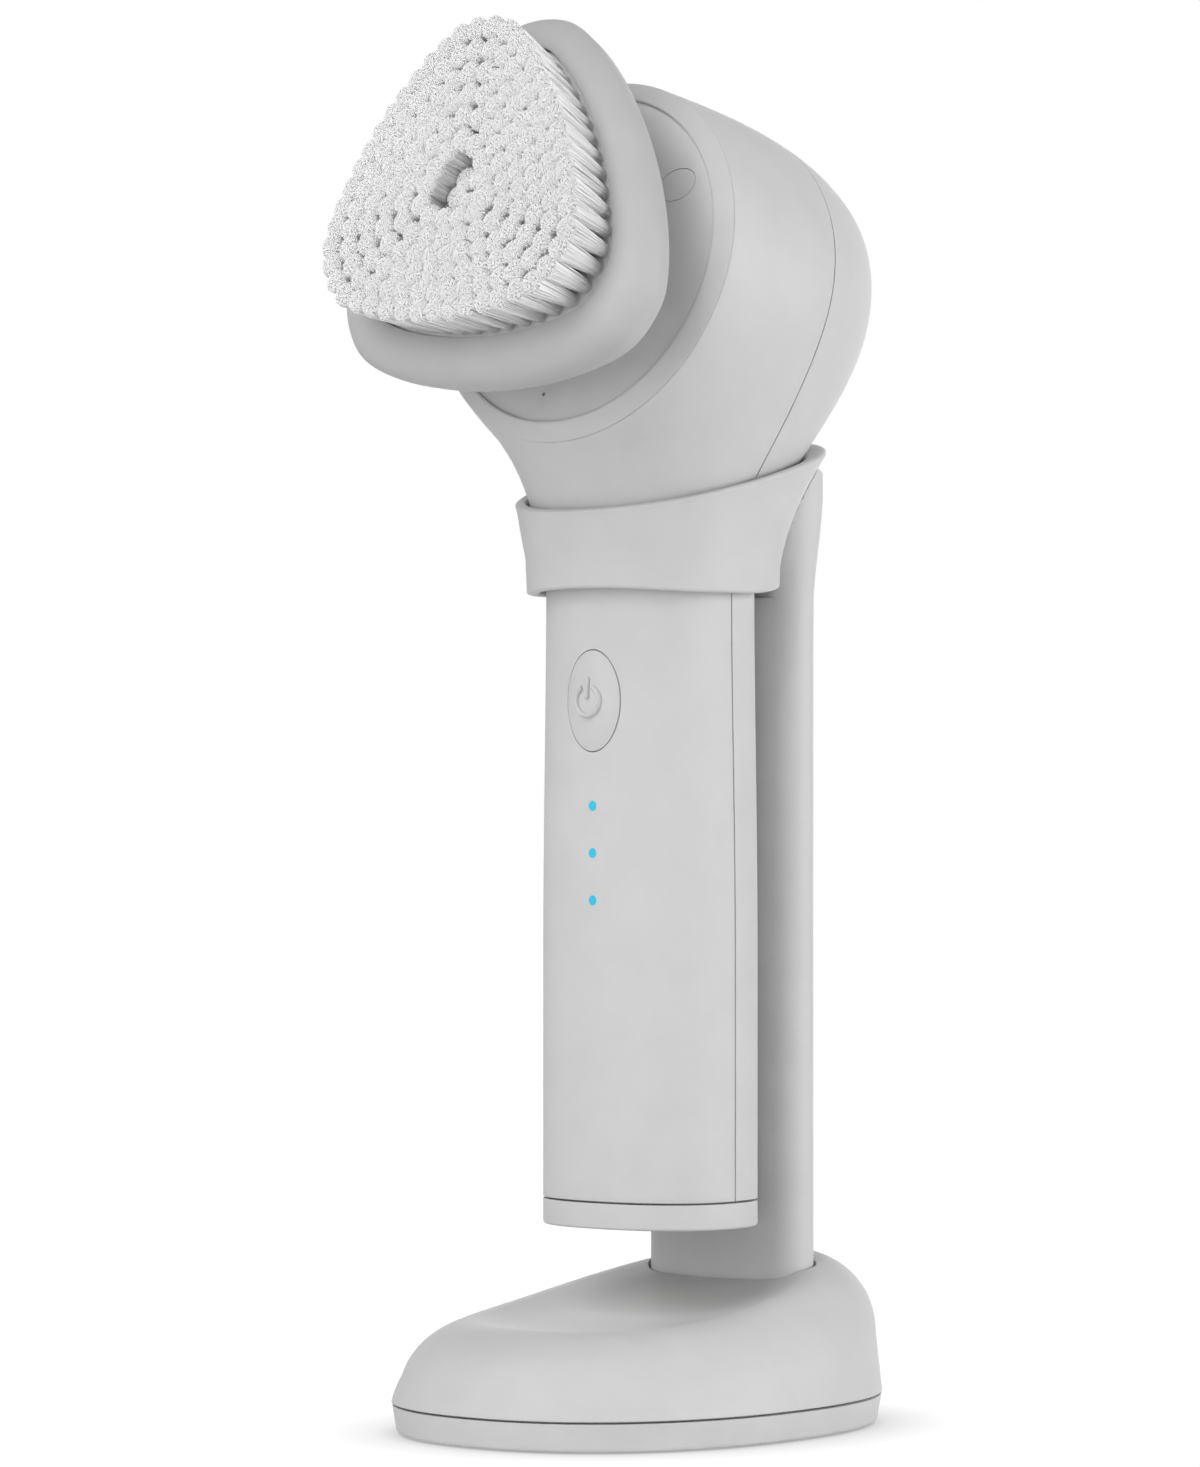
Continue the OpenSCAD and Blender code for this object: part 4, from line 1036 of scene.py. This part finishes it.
def tuft_kind(draw):
    """One tuft, standing up from its root at the origin and opening towards its tips."""
    bm = bmesh.new()
    for i in range(FIBRES):
        turn = i * FIBRE_TURN + draw.uniform(-FIBRE_TURN_STRAY, FIBRE_TURN_STRAY)
        spread = math.sqrt((i + 0.5) / FIBRES)
        fibre = bmesh.ops.create_cone(
            bm, cap_ends=True, segments=3, radius1=0, radius2=FIBRE_TIP_R, depth=BRISTLE_LEN
        )["verts"]
        out = Vector((math.cos(turn), math.sin(turn), 0)) * spread
        short = draw.uniform(-TUFT_RAGGED, 0) - TUFT_DOME * spread ** TUFT_DOME_POWER
        stray = Vector((draw.gauss(0, FIBRE_STRAY), draw.gauss(0, FIBRE_STRAY), 0))
        spin = Matrix.Rotation(draw.uniform(0, 2 * math.pi), 3, "Z")
        bmesh.ops.rotate(bm, cent=(0, 0, 0), matrix=spin, verts=fibre)
        bmesh.ops.translate(bm, vec=out * TUFT_ROOT_R + Vector((0, 0, BRISTLE_LEN / 2)), verts=fibre)
        tip = [v for v in fibre if v.co.z > BRISTLE_LEN / 2]
        reach = out * (TUFT_TIP_R - TUFT_ROOT_R) + stray + Vector((0, 0, short))
        bmesh.ops.translate(bm, vec=reach, verts=tip)
    mesh = bpy.data.meshes.new("tuft_kind")
    bm.to_mesh(mesh)
    bm.free()
    return mesh


def lean_at(place, tall):
    """Matrix that sets a tuft at its place, a share tall, and leans its tips outwards and up."""
    tip = (BRISTLE_SPLAY - 1) * (place - Vector((0, FIELD_MID))) + Vector((0, BRISTLE_LIFT))
    return Matrix((
        (1, 0, tip.x / BRISTLE_LEN, place.x),
        (0, 1, tip.y / BRISTLE_LEN, place.y),
        (0, 0, tall, FIELD_FLOOR),
        (0, 0, 0, 1),
    ))


def tufts(name, rows, kinds, draw):
    """Rows of tufts as one piece, each row with its share of the field and of the tufts' length."""
    bm = bmesh.new()
    for share, tall in rows:
        for place in tuft_places(share):
            before = len(bm.verts)
            bm.from_mesh(draw.choice(kinds))
            bm.verts.ensure_lookup_table()
            turn = Matrix.Rotation(draw.uniform(0, 2 * math.pi), 4, "Z")
            bmesh.ops.transform(bm, matrix=lean_at(place, tall) @ turn, verts=bm.verts[before:])
    bmesh.ops.transform(bm, matrix=HEAD, verts=bm.verts)
    fit(dressed(bm, name, FINISHES["nylon"], TUFT_SHARP), "brush_head", "bristles")


def tuft_backing():
    """Slice of the backing that holds the tufts."""
    bm = bmesh.new()
    rings = [field_ring(0, FIELD_FLOOR - BACKING_T), field_ring(0, FIELD_FLOOR - BACKING_EDGE)]
    rings += [field_ring(-BACKING_EDGE, FIELD_FLOOR)]
    loft(bm, rings, floor=True, roof=True)
    bmesh.ops.transform(bm, matrix=HEAD, verts=bm.verts)
    fit(dressed(bm, "tuft_backing", FINISHES["nylon"]), "brush_head", "bristles")


def brush_field():
    """All the tufts, as three pieces of a few rows each, and their backing."""
    draw = random.Random(TUFT_SEED)
    kinds = [tuft_kind(draw) for _ in range(TUFT_KINDS)]
    rows = [(share, 1) for share in TUFT_ROWS]
    tufts("outer_tufts", rows[:1], kinds, draw)
    tufts("middle_tufts", rows[1:3], kinds, draw)
    tufts("inner_tufts", rows[3:] + [(WELL_ROW, WELL_TALL)], kinds, draw)
    tuft_backing()
    for kind in kinds:
        bpy.data.meshes.remove(kind)


brush_field()


# Stage, light and camera

WHITE_BACK = 1.0
FLOOR_GLOW = 1.05
SHADOW_LEVEL = 0.4
SHADOW_REACH = 0.016
SOFT_BOX_SIZE = 0.9
SOFT_BOX_AIM = Vector((0, 0, 0.11))
WORLD_LEVEL = 0.03
FLOOR_SIZE = 6
FLOOR_TONE = 0.95

# Soft boxes: name, place in metres and power in watts
SOFT_BOXES = (
    ("front_high", (0, -0.92, 1.03), 9.2),
    ("front_low", (0, -1.295, 0.223), 6.1),
    ("camera_low", (0.834, -0.991, 0.223), 2.2),
    ("right", (1.12, 0.65, 0.223), 14.2),
    ("rear", (-0.65, 1.1, 0.17), 3.5),
)

# Camera, as found from the photo's outline
CAMERA_AT = (0.6209, -0.7471, 0.1059)
CAMERA_TURN = (math.radians(90), 0, math.radians(40.1))
CAMERA_LENS = 147.85
CAMERA_SENSOR = 36
CAMERA_SHIFT = 0.0246
CAMERA_NEAR = 0.05


def seen_directly(tree):
    """Sum of the light path's camera, glossy and transmission rays, at most 1."""
    path = tree.nodes.new("ShaderNodeLightPath")
    first = tree.nodes.new("ShaderNodeMath")
    first.operation = "MAXIMUM"
    tree.links.new(path.outputs["Is Camera Ray"], first.inputs[0])
    tree.links.new(path.outputs["Is Glossy Ray"], first.inputs[1])
    second = tree.nodes.new("ShaderNodeMath")
    second.operation = "MAXIMUM"
    tree.links.new(first.outputs[0], second.inputs[0])
    tree.links.new(path.outputs["Is Transmission Ray"], second.inputs[1])
    return second.outputs[0]


def floor_finish():
    """White floor, seen with a soft shadow where the object stands on it."""
    material = bpy.data.materials.new("white_floor")
    material.use_nodes = True
    tree = material.node_tree
    tree.nodes.clear()
    output = tree.nodes.new("ShaderNodeOutputMaterial")
    bounce = tree.nodes.new("ShaderNodeBsdfDiffuse")
    bounce.inputs["Color"].default_value = (FLOOR_TONE, FLOOR_TONE, FLOOR_TONE, 1)
    near = tree.nodes.new("ShaderNodeAmbientOcclusion")
    near.inputs["Distance"].default_value = SHADOW_REACH
    shown = tree.nodes.new("ShaderNodeMapRange")
    shown.inputs["To Min"].default_value = SHADOW_LEVEL
    shown.inputs["To Max"].default_value = FLOOR_GLOW
    tree.links.new(near.outputs["AO"], shown.inputs["Value"])
    glow = tree.nodes.new("ShaderNodeEmission")
    tree.links.new(shown.outputs["Result"], glow.inputs["Strength"])
    mix = tree.nodes.new("ShaderNodeMixShader")
    tree.links.new(seen_directly(tree), mix.inputs["Fac"])
    tree.links.new(bounce.outputs[0], mix.inputs[1])
    tree.links.new(glow.outputs[0], mix.inputs[2])
    tree.links.new(mix.outputs[0], output.inputs["Surface"])
    return material


def stage():
    """Floor under the object."""
    bm = bmesh.new()
    bmesh.ops.create_grid(bm, x_segments=8, y_segments=8, size=FLOOR_SIZE)
    mesh = bpy.data.meshes.new("floor")
    bm.to_mesh(mesh)
    bm.free()
    mesh.materials.append(floor_finish())
    floor = bpy.data.objects.new("floor", mesh)
    bpy.context.scene.collection.objects.link(floor)


def world_light():
    """White background that lights the object only faintly."""
    world = bpy.data.worlds.new("studio")
    world.use_nodes = True
    tree = world.node_tree
    background = tree.nodes["Background"]
    shown = tree.nodes.new("ShaderNodeMapRange")
    shown.inputs["To Min"].default_value = WORLD_LEVEL
    shown.inputs["To Max"].default_value = WHITE_BACK
    tree.links.new(seen_directly(tree), shown.inputs["Value"])
    tree.links.new(shown.outputs["Result"], background.inputs["Strength"])
    background.inputs["Color"].default_value = (1, 1, 1, 1)
    bpy.context.scene.world = world


def soft_box(name, place, power):
    """Square lamp that faces the object and isn't seen itself."""
    light = bpy.data.lights.new(name, "AREA")
    light.shape = "SQUARE"
    light.size = SOFT_BOX_SIZE
    light.energy = power
    lamp = bpy.data.objects.new(name, light)
    lamp.location = place
    lamp.rotation_euler = (SOFT_BOX_AIM - Vector(place)).to_track_quat("-Z", "Y").to_euler()
    lamp.visible_camera = False
    bpy.context.scene.collection.objects.link(lamp)


def photo_camera():
    """Camera that sees the object as the photo does."""
    data = bpy.data.cameras.new("photo_camera")
    data.lens = CAMERA_LENS
    data.sensor_width = CAMERA_SENSOR
    data.shift_y = CAMERA_SHIFT
    data.clip_start = CAMERA_NEAR
    camera = bpy.data.objects.new("photo_camera", data)
    camera.location = CAMERA_AT
    camera.rotation_euler = CAMERA_TURN
    bpy.context.scene.collection.objects.link(camera)
    bpy.context.scene.camera = camera


stage()
world_light()
for lamp_name, lamp_place, lamp_power in SOFT_BOXES:
    soft_box(lamp_name, lamp_place, lamp_power)
photo_camera()
bpy.context.scene.view_settings.view_transform = "Standard"
